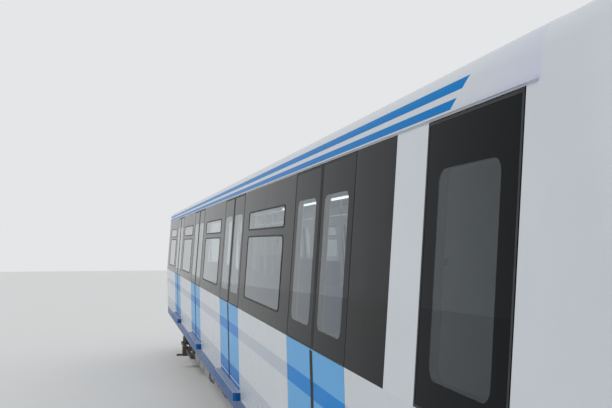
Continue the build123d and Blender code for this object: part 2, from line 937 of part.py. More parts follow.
def ceiling():
    """The panel over the saloon with its air duct down the middle."""
    slope = duct_half_width + duct_depth
    lower = [
        (-half_width_cantrail, ceiling_z),
        (-slope, ceiling_z),
        (-duct_half_width, ceiling_z - duct_depth),
        (duct_half_width, ceiling_z - duct_depth),
        (slope, ceiling_z),
        (half_width_cantrail, ceiling_z),
    ]
    upper_z = ceiling_z + ceiling_thickness
    upper = [(half_width_cantrail, upper_z), (-half_width_cantrail, upper_z)]
    outline = polygon(lower + upper) & section(wall_thickness + seat_gap, cantrail_z)
    return along_x(outline, (rear_x + wall_thickness, bulkhead_x[0]))


def ceiling_light(side):
    x = (rear_x + wall_thickness + light_end_gap, bulkhead_x[0] - light_end_gap)
    return block(x, around(side * light_offset, 2 * light_half_width), (ceiling_z - light_depth, ceiling_z))


bench_length = seats_in_bench * seat_pitch


def seat_profile(side, wall_y):
    """A moulded seat shell in section: a lip, a hollow seat and a leaning back."""
    seat_top = floor_top + seat_height
    front = wall_y - seat_depth
    corner = wall_y - seat_back_lean - 2 * seat_shell_thickness
    head = wall_y - 2 * seat_shell_thickness
    thick = seat_shell_thickness
    points = [
        (front, seat_top - thick),
        (front + thick, seat_top),
        (corner, seat_top - thick / 2),
        (head, seat_top + seat_back_height),
        (head + thick, seat_top + seat_back_height),
        (corner + thick, seat_top - 3 * thick / 2),
        (front + thick, seat_top - thick),
    ]
    return polygon([(side * y, z) for y, z in points])


def bench(side, centre):
    """A row of seat shells on a carrier that stands out from the wall, with a panel at each end."""
    carrier_top = floor_top + seat_height - seat_shell_thickness
    carrier_bottom = carrier_top - seat_shell_thickness - seat_carrier_depth
    wall_y = half_width(carrier_bottom) - wall_thickness - seat_gap
    start = centre - bench_length / 2
    carrier_y = (side * (wall_y - 3 * seat_depth / 4), side * wall_y)
    pieces = [block((start, start + bench_length), carrier_y, (carrier_bottom, carrier_top))]
    profile = seat_profile(side, wall_y)
    for i in range(seats_in_bench):
        x = start + i * seat_pitch
        pieces.append(along_x(profile, (x + seat_side_gap, x + seat_pitch - seat_side_gap)))
    panel_z = (floor_top + seat_gap, floor_top + bench_panel_height)
    panel_y = min(half_width(z) for z in panel_z) - wall_thickness - seat_gap
    middle = (side * (panel_y - seat_depth / 2), (panel_z[0] + panel_z[1]) / 2)
    outline = RectangleRounded(seat_depth, panel_z[1] - panel_z[0], 2 * bench_panel_thickness)
    for way in (-1, 1):
        x = centre + way * bench_length / 2
        pieces.append(along_x(Pos(*middle) * outline, (x, x + way * bench_panel_thickness)))
    return joined(pieces)


def grab_poles(side):
    z = (floor_top + seat_gap, ceiling_z - seat_gap)
    offset_x = bench_length / 2 + bench_panel_thickness + pole_inset
    places = [centre + way * offset_x for centre in window_centres for way in (-1, 1)]
    return [round_bar("Z", rail_radius, (x, side * rail_y), z) for x in places]


def handrail(side):
    """A bar along the saloon beside the poles, hung from the ceiling above each doorway."""
    z = floor_top + rail_over_floor
    y = side * (rail_y - 2 * rail_radius - seat_gap)
    ends = (window_centres[0] - window_width / 2, bulkhead_x[0] - seat_gap)
    hangers = [round_bar("Z", rail_radius / 2, (x, y), (z, ceiling_z - seat_gap)) for x in door_centres]
    return joined([round_bar("X", rail_radius, (y, z), ends), *hangers])


# Cab inside

bulkhead_hinge_x = bulkhead_x[0] - hinge_pin_radius
bulkhead_hinge_y = (bulkhead_door_width + bulkhead_door_gap) / 2
small_knuckle = knuckle_radius / 2
small_pin = hinge_pin_radius / 2


def bulkhead():
    """The wall to the saloon, with its doorway and the door's wall knuckles and pins."""
    wall = along_x(section(wall_thickness, floor_top), bulkhead_x)
    half = bulkhead_door_width / 2 + bulkhead_door_gap
    head = floor_top + bulkhead_door_height + 2 * bulkhead_door_gap
    wall -= block((bulkhead_x[0] - 1, bulkhead_x[1] + 1), (-half, half), (floor_top - 1, head))
    pieces = [wall]
    x = (bulkhead_hinge_x - small_knuckle, bulkhead_x[0])
    place = (bulkhead_hinge_x, bulkhead_hinge_y)
    for level in bulkhead_hinge_over_floor:
        z = floor_top + level
        pieces.append(round_bar("Z", small_pin, place, (z - hinge_half_height, z + hinge_half_height)))
        for span in hinge_spans(z)[0]:
            pieces.append(block(x, (bulkhead_hinge_y, bulkhead_hinge_y + hinge_reach), span))
            pieces.append(round_bar("Z", small_knuckle, place, span))
    return joined(pieces)


def bulkhead_door():
    """The door between cab and saloon, with a window and the leaf's knuckles."""
    x = (bulkhead_x[0], bulkhead_x[0] + bulkhead_door_thickness)
    low = floor_top + bulkhead_door_gap
    leaf = block(x, around(0, bulkhead_door_width), (low, low + bulkhead_door_height))
    window_middle = floor_top + bulkhead_window_over_floor + bulkhead_window_height / 2
    window = RectangleRounded(bulkhead_window_width, bulkhead_window_height, window_corner_radius)
    leaf -= along_x(Pos(0, window_middle) * window, (x[0] - 1, x[1] + 1))
    pieces = [leaf]
    place = (bulkhead_hinge_x, bulkhead_hinge_y)
    for level in bulkhead_hinge_over_floor:
        span = hinge_spans(floor_top + level)[1]
        lug_x = (bulkhead_hinge_x - small_knuckle, bulkhead_x[0])
        lug = block(lug_x, (bulkhead_hinge_y - hinge_reach, bulkhead_hinge_y), span)
        lug += round_bar("Z", small_knuckle, place, span)
        pieces.append(lug - round_bar("Z", small_pin + knuckle_clearance, place, (span[0] - 1, span[1] + 1)))
    return joined(pieces)


def cab_desk():
    """A desk with knee room, and a raised console along its front edge."""
    back = nose_x - desk_from_nose
    front = back - desk_depth
    top = floor_top + desk_height
    side_view = [
        (front, top - 2 * desk_edge_radius),
        (front + desk_edge_radius, top),
        (back, top + desk_edge_radius),
        (back, floor_top),
        (front + desk_depth / 3, floor_top),
        (front + desk_depth / 3, top - desk_depth / 3),
    ]
    desk = along_y(polygon(side_view), (-desk_half_width, desk_half_width))
    console = [
        (back - console_depth, top),
        (back - console_depth / 2, top + console_height),
        (back, top + console_height),
        (back, top),
    ]
    return desk + along_y(polygon(console), (-console_half_width, console_half_width))


def driver_seat():
    """A pedestal seat with a cushion and a leaning back."""
    x = nose_x - driver_seat_from_nose
    low = floor_top + driver_seat_over_floor
    high = low + driver_cushion_thickness
    rear = x - driver_seat_half_length
    front = x + driver_seat_half_length
    top = floor_top + driver_back_top
    rise = driver_cushion_radius
    cushion = polygon([(rear, low), (front, low + rise), (front, high + rise), (rear, high)], rise)
    back_foot = (rear, rear + driver_cushion_thickness)
    back = polygon(
        [
            (back_foot[0], high - 2 * rise),
            (back_foot[1], high - 2 * rise),
            (back_foot[1] - driver_back_lean, top),
            (back_foot[0] - driver_back_lean, top),
        ],
        rise,
    )
    half = driver_seat_half_width
    return joined(
        [
            along_y(cushion, (-half, half)),
            along_y(back, (-half, half)),
            round_bar("Z", pedestal_radius, (x, 0), (floor_top, (low + high) / 2)),
            round_bar("Z", pedestal_foot_radius, (x, 0), (floor_top, floor_top + pedestal_foot_thickness)),
        ]
    )


# Underfloor equipment

def hangers(x, top):
    """Brackets from the bearers down to a case that spans x."""
    made = []
    for bearer in bearers:
        if x[0] + hanger_width < bearer < x[1] - hanger_width:
            for side in (-1, 1):
                y = around(side * hanger_y, 2 * hanger_width)
                made.append(block(around(bearer, hanger_width), y, (top - 1, case_ceiling)))
    return made


def underfloor_case(start, length, bottom_over_rail):
    """An equipment case with three lids on each side."""
    x = (bearer_first + start, bearer_first + start + length)
    z = (rail_top + bottom_over_rail, case_ceiling - case_top_gap)
    case = block(x, (-case_half_width, case_half_width), z)
    case = chamfer(case.edges().filter_by(Axis.X), case_edge)
    pieces = [case, *hangers(x, z[1])]
    lid_pitch = length / case_lids
    for i in range(case_lids):
        middle = x[0] + (i + 0.5) * lid_pitch
        for side in (-1, 1):
            y = (side * (case_half_width - 1), side * (case_half_width + case_lid_thickness))
            lid_z = (z[0] + case_lid_margin, z[1] - case_lid_margin)
            pieces.append(block(around(middle, lid_pitch - case_lid_margin), y, lid_z))
    return joined(pieces)


def brake_resistor_case():
    """A case whose sides are open slots, for air over the resistor banks."""
    x = (bearer_first + resistor_start, bearer_first + resistor_start + resistor_length)
    z = (rail_top + resistor_bottom_over_rail, case_ceiling - case_top_gap)
    case = block(x, (-case_half_width, case_half_width), z)
    pitch = (resistor_length - 2 * case_lid_margin) / resistor_slots
    cuts = []
    for i in range(resistor_slots):
        middle = x[0] + case_lid_margin + (i + 0.5) * pitch
        for side in (-1, 1):
            y = (side * (case_half_width - resistor_slot_depth), side * (case_half_width + 1))
            slot_z = (z[0] + case_lid_margin, z[1] - case_lid_margin)
            cuts.append(block(around(middle, resistor_slot_width), y, slot_z))
    return joined([case - cuts, *hangers(x, z[1])])


def reservoir(side):
    """An air reservoir along the car, with domed ends and two saddles up to the bearers."""
    x = (bearer_first + reservoir_start, bearer_first + reservoir_start + reservoir_length)
    z = case_ceiling - case_top_gap - reservoir_radius
    profile = [
        (x[0], 0),
        (x[0], reservoir_radius / 2),
        (x[0] + reservoir_radius / 3, reservoir_radius),
        (x[1] - reservoir_radius / 3, reservoir_radius),
        (x[1], reservoir_radius / 2),
        (x[1], 0),
    ]
    tank = Pos(0, side * reservoir_y, z) * revolve(polygon(profile), Axis.X)
    saddles = []
    for bearer in bearers:
        if x[0] < bearer < x[1]:
            y = around(side * reservoir_y, reservoir_radius)
            saddles.append(block(around(bearer, hanger_width), y, (z, case_ceiling)))
    return joined([tank, *saddles])


def compressor():
    """The compressor set between the reservoirs."""
    x = (bearer_first + reservoir_start, bearer_first + reservoir_start + reservoir_length)
    top = case_ceiling - case_top_gap
    body = block(x, (-compressor_half_width, compressor_half_width), (top - compressor_height, top))
    body = chamfer(body.edges().filter_by(Axis.X), case_edge)
    lugs = [
        block(around(bearer, hanger_width), (-hanger_width, hanger_width), (top - 1, case_ceiling))
        for bearer in bearers
        if x[0] < bearer < x[1]
    ]
    return joined([body, *lugs])


# Wheelset: one turned profile from the middle of the axle to its end

def wheelset(x):
    inner = wheel_back_to_back / 2
    outer = inner + rim_width
    tip = wheel_radius + flange_height
    rim = wheel_radius - rim_depth
    web = (inner + (rim_width - web_thickness) / 2, inner + (rim_width + web_thickness) / 2)
    web_root = hub_radius + web_root_height
    web_rim = rim - web_root_height / 2
    profile = [
        # distance along the axle from its middle, radius
        (0, 0),
        (0, axle_radius),
        (inner - hub_overhang, axle_radius),
        (inner - hub_overhang, hub_radius),
        (web[0], web_root),
        (web[0], web_rim),
        (inner, rim),
        (inner, tip - flange_tip_inset / 2),
        (inner + flange_tip_inset, tip),
        (inner + flange_root_inset, wheel_radius),
        (outer, wheel_radius - tread_taper),
        (outer, rim),
        (web[1], web_rim),
        (web[1], web_root),
        (outer + hub_overhang, hub_radius),
        (outer + hub_overhang, axle_radius),
        (beam_inner_y - hub_overhang, journal_radius),
        (axle_half_length, journal_radius),
        (axle_half_length, 0),
    ]
    half = Rot(0, 0, 90) * revolve(polygon(profile), Axis.X)
    return Pos(x, 0, axle_z) * (half + mirror(half, Plane.XZ))


# Bogie pieces. x is the bogie's middle.

beam_end_bottom = rail_top + beam_end_bottom_over_rail
beam_middle_bottom = rail_top + beam_middle_bottom_over_rail
beam_top = rail_top + beam_top_over_rail
beam_y = (beam_inner_y, beam_inner_y + beam_width)
axle_box_y = (beam_inner_y + axle_box_side_gap, beam_inner_y + beam_width + axle_box_overhang)


def axle_box(axle_x, side):
    """A bearing housing with a shelf fore and aft, each with a stepped rubber spring up to the frame."""
    y = (side * axle_box_y[0], side * axle_box_y[1])
    middle = (y[0] + y[1]) / 2
    shelf_z = (axle_z - shelf_below_axle, axle_z + shelf_above_axle)
    pieces = [
        round_bar("Y", axle_box_radius, (axle_x, axle_z), y),
        block(around(axle_x, 2 * shelf_half_length), y, shelf_z),
    ]
    step = (beam_end_bottom - shelf_z[1]) / primary_steps
    for way in (-1, 1):
        place = (axle_x + way * primary_offset, middle)
        for i in range(primary_steps):
            share = i / (primary_steps - 1)
            radius = primary_bottom_radius + share * (primary_top_radius - primary_bottom_radius)
            low = shelf_z[1] + i * step
            pieces.append(round_bar("Z", radius, place, (low, low + step)))
    bore = (side * (beam_inner_y - 1), side * (axle_half_length + 1))
    return joined(pieces) - round_bar("Y", journal_radius + journal_clearance, (axle_x, axle_z), bore)


def beam_outline(x):
    """A side beam in side view: low in the middle for the air spring, raised over the axle boxes."""
    end = wheelbase / 2 + beam_end_reach
    shoulder = beam_top + beam_shoulder
    rise = beam_half_flat + 2 * (shoulder - beam_top) + beam_shoulder
    half = [
        (beam_half_flat, beam_top),
        (rise, shoulder),
        (end - beam_shoulder, shoulder),
        (end, shoulder - beam_shoulder / 2),
        (end, beam_end_bottom),
        (rise + beam_shoulder / 2, beam_end_bottom),
        (beam_half_flat, beam_middle_bottom),
    ]
    points = [(x + dx, z) for dx, z in half] + [(x - dx, z) for dx, z in reversed(half)]
    return polygon(points, beam_corner_radius)


def wheel_guard(x, way, side):
    """An arm from the beam's end down in front of the wheel, its foot over the rail."""
    end = x + way * (wheelbase / 2 + beam_end_reach - 1)
    front = x + way * (wheelbase / 2 + beam_end_reach + guard_reach)
    inner = front - way * guard_thickness
    foot = rail_top + guard_over_rail
    arm = polygon(
        [
            (end, beam_end_bottom + 10),
            (end, beam_top),
            (inner, beam_top),
            (front, beam_top - 2 * guard_thickness),
            (front, foot),
            (inner, foot),
            (inner, beam_end_bottom - 2 * guard_thickness),
            (inner - way * guard_thickness, beam_end_bottom + 10),
        ]
    )
    plate_y = (side * (wheel_back_to_back / 2 + rim_width / 3), side * (beam_inner_y + guard_thickness))
    plate = block((inner, front), plate_y, (foot, foot + 3 * guard_thickness))
    return along_y(arm, (side * beam_inner_y, side * (beam_inner_y + guard_thickness))) + plate


def bogie_frame(x, outer_way):
    """Two cranked side beams, two round transoms and a centre casting that is bored for the pivot."""
    middle_z = (beam_middle_bottom + beam_top) / 2
    centre_z = (beam_middle_bottom + beam_to_casting, beam_top - beam_to_casting)
    pieces = [block(around(x, 2 * centre_half_length), (-centre_half_width, centre_half_width), centre_z)]
    for way in (-1, 1):
        reach = (-beam_inner_y - 1, beam_inner_y + 1)
        pieces.append(round_bar("Y", transom_radius, (x + way * transom_offset, middle_z), reach))
    for side in (-1, 1):
        pieces.append(along_y(beam_outline(x), (side * beam_y[0], side * beam_y[1])))
        pieces.append(wheel_guard(x, outer_way, side))
    return joined(pieces) - round_bar("Z", pivot_radius + pivot_clearance, (x, 0), (0, roof_top))


def air_spring(x, side):
    """A rubber bellows on a seat plate, under the deck."""
    y = side * ((beam_y[0] + beam_y[1]) / 2 - air_spring_radius + spring_pad_radius)
    high = underframe_bottom - seat_gap
    waist = air_spring_radius - air_spring_waist
    seat_top = beam_top + spring_pad_thickness
    profile = [
        # radius, height
        (0, beam_top),
        (spring_pad_radius, beam_top),
        (spring_pad_radius, seat_top),
        (waist, seat_top),
        (waist, seat_top + air_spring_shoulder / 2),
        (air_spring_radius, seat_top + air_spring_shoulder),
        (air_spring_radius, high - air_spring_shoulder),
        (waist, high - air_spring_shoulder / 2),
        (waist, high),
        (0, high),
    ]
    return Pos(x, y, 0) * revolve(Plane.XZ * polygon(profile), Axis.Z)


def drive(x, way):
    """A traction motor held by the centre casting, and the gear case that joins it to its axle."""
    axle_x = x + way * wheelbase / 2
    motor_x = x + way * motor_offset
    motor_z = axle_z + motor_above_axle
    motor_place = (motor_x, motor_z)
    axle_place = (axle_x, axle_z)
    case_y = (way * gear_case_y[0], way * gear_case_y[1])
    middle_y = (case_y[0] + case_y[1]) / 2
    octagon = Pos(*motor_place) * RegularPolygon(motor_radius, 8, major_radius=False, rotation=22.5)
    bell_end = motor_half_length + motor_bell_length
    arm_x = (x + way * centre_half_length, motor_x)
    arm_top = beam_top - motor_arm_under_top
    arm_z = (arm_top - motor_arm_thickness, arm_top)
    cover = [
        (motor_x, motor_z - pinion_case_radius),
        (axle_x, axle_z - gear_case_radius),
        (axle_x, axle_z + gear_case_radius),
        (motor_x, motor_z + pinion_case_radius),
    ]
    pieces = [
        along_y(octagon, (-motor_half_length, motor_half_length)),
        round_bar("Y", motor_bell_radius, motor_place, (-bell_end, bell_end)),
        block(arm_x, around(0, centre_half_width), arm_z),
        round_bar("Y", output_shaft_radius, motor_place, (0, middle_y)),
        round_bar("Y", gear_case_radius, axle_place, case_y),
        round_bar("Y", pinion_case_radius, motor_place, case_y),
        along_y(polygon(cover), case_y),
        round_bar("Y", gear_case_radius + case_flange_width, axle_place, around(middle_y, case_flange_width)),
    ]
    return joined(pieces) - round_bar("Y", axle_radius + axle_clearance, axle_place, case_y)


def brake_unit(x, way, side):
    """A tread brake hung from the side beam: its cylinder, its hanger and the shoe just off the wheel."""
    axle_x = x + way * wheelbase / 2
    axle_place = (axle_x, axle_z)
    y = (side * (wheel_back_to_back / 2 + brake_inset), side * (wheel_back_to_back / 2 + rim_width))
    shoe_reach = wheel_radius + shoe_gap + shoe_thickness
    shoe_back = axle_x - way * shoe_reach
    shoe_x = (shoe_back, shoe_back + way * 2 * shoe_thickness)
    shoe = round_bar("Y", shoe_reach, axle_place, y) & block(shoe_x, y, around(axle_z, 2 * shoe_half_height))
    cylinder_back = shoe_back - way * brake_cylinder_length
    cylinder_place = ((y[0] + y[1]) / 2, axle_z)
    cylinder_x = (cylinder_back, shoe_back - way * shoe_thickness / 2)
    cylinder = round_bar("X", brake_cylinder_radius, cylinder_place, cylinder_x)
    push_rod_x = (cylinder_back, shoe_back + way * shoe_thickness / 2)
    push_rod = round_bar("X", push_rod_radius, cylinder_place, push_rod_x)
    hanger_x = (cylinder_back, cylinder_back + way * brake_hanger_width)
    hanger = block(hanger_x, (y[0], side * beam_inner_y), (axle_z, beam_end_bottom))
    wheel = round_bar("Y", wheel_radius + shoe_gap, axle_place, (-beam_inner_y, beam_inner_y))
    return joined([shoe, cylinder, push_rod, hanger]) - wheel


def collector_gear(x, side):
    """An insulated beam between the axle boxes, with the current collector at its middle."""
    face = axle_box_y[1]
    low = axle_z - collector_under_axle
    high = low + collector_depth
    foot = low - collector_arm_half_width
    shoe_y = face + collector_depth
    bar = block(around(x, wheelbase + axle_box_radius), (side * face, side * shoe_y), (low, high))
    arm_y = (side * face, side * (face + 2 * collector_depth))
    arm = block(around(x, 2 * collector_arm_half_width), arm_y, (foot, high + collector_shoe_thickness))
    reach_y = (side * shoe_y, side * (shoe_y + collector_shoe_reach))
    shoe = block(around(x, collector_arm_half_width), reach_y, (foot, foot + collector_shoe_thickness))
    return joined([bar, arm, shoe])


def save_bogie(name, x, outer_way):
    axles = {"leading": x + wheelbase / 2, "trailing": x - wheelbase / 2}
    for place, axle_x in axles.items():
        save(f"{name}_wheelset_{place}", wheelset(axle_x))
    save(f"{name}_bogie_frame", bogie_frame(x, outer_way))
    save(f"{name}_axle_boxes", *[axle_box(a, side) for a in axles.values() for side in (-1, 1)])
    save(f"{name}_air_springs", *[air_spring(x, side) for side in (-1, 1)])
    save(f"{name}_drives", drive(x, 1), drive(x, -1))
    save(f"{name}_brake_units", *[brake_unit(x, way, side) for way in (-1, 1) for side in (-1, 1)])
    save(f"{name}_collector_gear", *[collector_gear(x, side) for side in (-1, 1)])


# Couplers

def coupler_eye(x):
    """The bored eye that turns on a pocket's pin."""
    reach = pocket_gap - 6
    return round_bar("Z", coupler_eye_radius, (x, 0), (coupler_z - reach, coupler_z + reach))


def pin_bore(x):
    return round_bar("Z", coupler_pin_radius + pivot_clearance, (x, 0), (0, underframe_top))


def coupler_taper(face, y, way):
    """The cone that stands out from the coupler's face, or the hollow that takes one."""
    cone = Cone(coupler_cone_radius, coupler_cone_radius / 2, coupler_cone_length)
    return Pos(face + way * coupler_cone_length / 2, y, coupler_z) * Rot(0, way * 90, 0) * cone


def front_coupler():
    """An eye, a round shank, and a head with a cone, a funnel and an electric box below."""
    face = nose_x + coupler_reach - coupler_cone_length
    head_back = face - coupler_head_length
    half = coupler_head_size / 2
    head = block((head_back, face), (-half, half), (coupler_z - half, coupler_z + half))
    head = chamfer(head.edges().filter_by(Axis.X), coupler_head_size / 8)
    box_x = (head_back + coupler_head_length / 4, face - coupler_head_length / 8)
    box_z = (coupler_z - half - coupler_box_height, coupler_z - half + 1)
    pieces = [
        coupler_eye(coupler_pivot_x),
        round_bar("X", shank_radius, (0, coupler_z), (coupler_pivot_x, head_back + 1)),
        head - coupler_taper(face, -coupler_cone_y, -1),
        coupler_taper(face, coupler_cone_y, 1),
        block(box_x, around(0, coupler_head_size / 2), box_z),
    ]
    return joined(pieces) - pin_bore(coupler_pivot_x)


def rear_drawbar():
    """Bar coupler half: an eye, a round bar and a bolted flange."""
    face = gangway_face_x
    pieces = [
        coupler_eye(drawbar_pivot_x),
        round_bar("X", shank_radius, (0, coupler_z), (face, drawbar_pivot_x)),
        round_bar("X", drawbar_flange_radius, (0, coupler_z), (face, face + drawbar_flange_thickness)),
    ]
    cuts = [pin_bore(drawbar_pivot_x)]
    for i in range(drawbar_bolts):
        turn = math.tau * (i + 0.5) / drawbar_bolts
        place = (drawbar_pcd / 2 * math.cos(turn), coupler_z + drawbar_pcd / 2 * math.sin(turn))
        through = (face - 1, face + drawbar_flange_thickness + 1)
        cuts.append(round_bar("X", drawbar_bolt_radius, place, through))
    return joined(pieces) - cuts


sides = {"right": -1, "left": 1}
os.makedirs("parts", exist_ok=True)
save("side_walls", *[side_wall(side) for side in sides.values()])
save("window_bands", *[window_band(side) for side in sides.values()])
save("window_glass", *[pane for side in sides.values() for pane in window_glass(side)])
leaves = [(side, x) for side in sides.values() for centre in door_centres for x in leaf_spans(centre)]
save("door_leaves", *[door_leaf(side, x) for side, x in leaves])
save("door_glass", *[door_glass(side, x) for side, x in leaves])
save("door_seals", *[door_seal(side, centre) for side in sides.values() for centre in door_centres])
save("door_steps", *[door_step(side, centre) for side in sides.values() for centre in door_centres])
for name, side in sides.items():
    save(f"cab_door_{name}", cab_door(side))
    save(f"cab_door_glass_{name}", cab_door_glass(side))
save("roof", roof())
save("roof_air_units", *[air_unit(rear_x + share * body_length) for share in air_unit_places])
save("cab_shell", cab_shell())
save("cab_mask", cab_mask)
save("windscreen", windscreen, sign_glass)
save("lamp_housings", *lamp_housings)
save("lamp_lenses", *lamp_lenses)
save("wiper", wiper())
save("end_wall", end_wall())
save("gangway_bellows", gangway_bellows())
save("gangway_frame", gangway_frame())
save("gangway_bridge_plate", bridge_plate())
save("floor", floor())
save("underframe", underframe(), cab_deck())
save("cross_bearers", *[cross_bearer(x) for x in bearers])
save("bogie_pivots", *[bogie_pivot(x) for x in bogie_centres.values()])
save("coupler_pockets", coupler_pocket(coupler_pivot_x, -1), coupler_pocket(drawbar_pivot_x, 1))
save("ceiling", ceiling())
save("ceiling_lights", *[ceiling_light(side) for side in sides.values()])
save("bulkhead", bulkhead())
save("bulkhead_door", bulkhead_door())
save("bench_seats", *[bench(side, centre) for side in sides.values() for centre in window_centres])
save("grab_poles", *[pole for side in sides.values() for pole in grab_poles(side)])
save("handrails", *[handrail(side) for side in sides.values()])
save("cab_desk", cab_desk())
save("driver_seat", driver_seat())
save("front_coupler", front_coupler())
save("rear_drawbar", rear_drawbar())
for node, row in case_table.items():
    save(node, underfloor_case(*row))
save("brake_resistor_case", brake_resistor_case())
save("air_supply", *[reservoir(side) for side in sides.values()], compressor())
save_bogie("front", bogie_centres["front"], 1)
save_bogie("rear", bogie_centres["rear"], -1)
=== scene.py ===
# %% [markdown]
# # A metro driving car
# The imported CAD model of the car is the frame: body, doors, cab, saloon, couplers and two bogies, all at full
# size in metres. This lesson dresses it. We light it, give every node a procedural finish, and model the small
# things that make a railway car believable: gaskets, gutters, lamps, bolts, latches, pipes and cushions.

# %% Load the frame
import bmesh
import bpy
import json
import math
from mathutils import Matrix, Vector
from mathutils.bvhtree import BVHTree


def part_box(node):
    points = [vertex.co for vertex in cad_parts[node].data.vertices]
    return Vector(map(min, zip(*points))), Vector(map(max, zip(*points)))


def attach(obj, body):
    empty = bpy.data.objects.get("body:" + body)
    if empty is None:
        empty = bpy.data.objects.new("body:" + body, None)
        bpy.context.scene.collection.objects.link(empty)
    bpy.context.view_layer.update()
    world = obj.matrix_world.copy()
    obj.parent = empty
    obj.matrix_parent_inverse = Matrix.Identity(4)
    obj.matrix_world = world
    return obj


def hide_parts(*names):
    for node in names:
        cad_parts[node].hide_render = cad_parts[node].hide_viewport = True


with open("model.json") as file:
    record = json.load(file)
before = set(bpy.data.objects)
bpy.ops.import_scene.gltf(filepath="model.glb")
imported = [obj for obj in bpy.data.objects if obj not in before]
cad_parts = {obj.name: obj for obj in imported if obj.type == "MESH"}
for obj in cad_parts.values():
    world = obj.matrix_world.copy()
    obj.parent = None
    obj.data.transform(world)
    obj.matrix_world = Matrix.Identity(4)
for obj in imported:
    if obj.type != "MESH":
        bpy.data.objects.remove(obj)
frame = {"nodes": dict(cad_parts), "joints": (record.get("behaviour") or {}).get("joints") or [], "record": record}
scene = bpy.context.scene
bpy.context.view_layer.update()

# %% [markdown]
# ## The photographer's place
# The photograph was taken from the platform, close to the cab door and looking back along the car. Straight
# lines of the car run to one vanishing point, left of the middle. The yaw puts that point where the photograph
# has it, and the pitch puts it a little below the middle. Nothing is shifted.

# %% Camera
camera_place = Vector((9.889, -2.508, 2.611))
camera_yaw = math.radians(14.0)
camera_pitch = math.radians(2.9)
camera_data = bpy.data.cameras.new("camera")
camera_data.lens = 44.0
camera_data.sensor_width = 36.0
camera_data.clip_end = 300.0
camera = bpy.data.objects.new("camera", camera_data)
scene.collection.objects.link(camera)
look = Vector((-math.cos(camera_yaw), math.sin(camera_yaw), 0)) * math.cos(camera_pitch)
look.z = math.sin(camera_pitch)
camera.location = camera_place
camera.rotation_euler = look.to_track_quat("-Z", "Y").to_euler()
scene.camera = camera
print("camera looks along", [round(c, 3) for c in look])

# %% [markdown]
# ## A plain studio
# A car is far too long for small lamps, whose light would fade along it. Two suns with a wide angle light every
# metre of it alike and keep the shadows soft. The world is dimmer as a light than as a backdrop: the camera,
# reflections and panes see one even pale shade, so that paint and windows have something plain to reflect.

# %% World
world_strength = 0.5
background_colour = (0.78, 0.79, 0.80, 1)
daylight_colour = (0.95, 0.97, 1.0, 1)

scene.view_settings.view_transform = "Standard"
world = bpy.data.worlds.new("studio")
scene.world = world
world.use_nodes = True
world_nodes, world_links = world.node_tree.nodes, world.node_tree.links
lighting = world_nodes["Background"]
lighting.inputs["Color"].default_value = daylight_colour
lighting.inputs["Strength"].default_value = world_strength
backdrop = world_nodes.new("ShaderNodeBackground")
backdrop.inputs["Color"].default_value = background_colour
ray = world_nodes.new("ShaderNodeLightPath")
seen = ray.outputs["Is Camera Ray"]
for kind in ("Is Glossy Ray", "Is Transmission Ray"):
    either = world_nodes.new("ShaderNodeMath")
    either.operation = "MAXIMUM"
    world_links.new(seen, either.inputs[0])
    world_links.new(ray.outputs[kind], either.inputs[1])
    seen = either.outputs[0]
choice = world_nodes.new("ShaderNodeMixShader")
world_links.new(seen, choice.inputs["Fac"])
world_links.new(lighting.outputs[0], choice.inputs[1])
world_links.new(backdrop.outputs[0], choice.inputs[2])
world_links.new(choice.outputs[0], world_nodes["World Output"].inputs["Surface"])
print("world strength", world_strength)

# %% Floor
studio_reach = 60.0
floor_colour = (0.78, 0.78, 0.77, 1)
floor_roughness = 0.85

floor_shape = bmesh.new()
bmesh.ops.create_grid(floor_shape, x_segments=1, y_segments=1, size=studio_reach)
floor_mesh = bpy.data.meshes.new("studio_floor")
floor_shape.to_mesh(floor_mesh)
floor_shape.free()
studio_floor = bpy.data.objects.new("studio_floor", floor_mesh)
scene.collection.objects.link(studio_floor)
floor_paint = bpy.data.materials.new("studio_floor")
floor_paint.use_nodes = True
floor_shader = floor_paint.node_tree.nodes["Principled BSDF"]
floor_shader.inputs["Base Color"].default_value = floor_colour
floor_shader.inputs["Roughness"].default_value = floor_roughness
floor_mesh.materials.append(floor_paint)
print("floor", 2 * studio_reach, "m wide")

# %% Suns
suns = {
    # name: (where it shines from, strength, width of its disc in degrees)
    "key_sun": ((0.45, -0.75, 0.9), 1.1, 28),
    "fill_sun": ((-0.5, 0.9, 0.6), 0.45, 60),
}
for name, (source, strength, width) in suns.items():
    sun_data = bpy.data.lights.new(name, "SUN")
    sun_data.energy = strength
    sun_data.angle = math.radians(width)
    sun = bpy.data.objects.new(name, sun_data)
    sun.rotation_euler = Vector(source).to_track_quat("Z", "Y").to_euler()
    scene.collection.objects.link(sun)
print("suns:", sorted(suns))

# %% [markdown]
# ## Places read from the frame
# Pieces go where the CAD says. Door places come from the ledges below them, axle places from the joints that let
# the wheels turn, and points on the skin from a ray that is shot at it. Only where a form shares its node with
# others is its place written down as a number, beside the pieces that need it.

# %% Heights, doorways and axles
ledge_overlap = 0.76
door_count = 4
floor_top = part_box("floor")[1].z
belt_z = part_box("window_bands")[0].z
cantrail_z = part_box("window_bands")[1].z
sill_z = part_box("side_walls")[0].z
rear_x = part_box("side_walls")[0].x
joint_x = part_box("side_walls")[1].x
ledge_low, ledge_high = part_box("door_steps")
door_pitch = (ledge_high.x - ledge_low.x - 2 * ledge_overlap) / (door_count - 1)
door_centres = [ledge_low.x + ledge_overlap + i * door_pitch for i in range(door_count)]
window_centres = [x - door_pitch / 2 for x in door_centres]
sides = {"right": -1, "left": 1}


def joint_place(name):
    return Vector(next(j["pos_m"] for j in frame["joints"] if j["name"] == name))


axles = {
    f"{bogie}_wheelset_{place}": joint_place(f"{bogie}_wheelset_{place}_roll")
    for bogie in ("front", "rear")
    for place in ("leading", "trailing")
}
print("doors at", [round(x, 3) for x in door_centres], "axles at", [round(p.x, 3) for p in axles.values()])

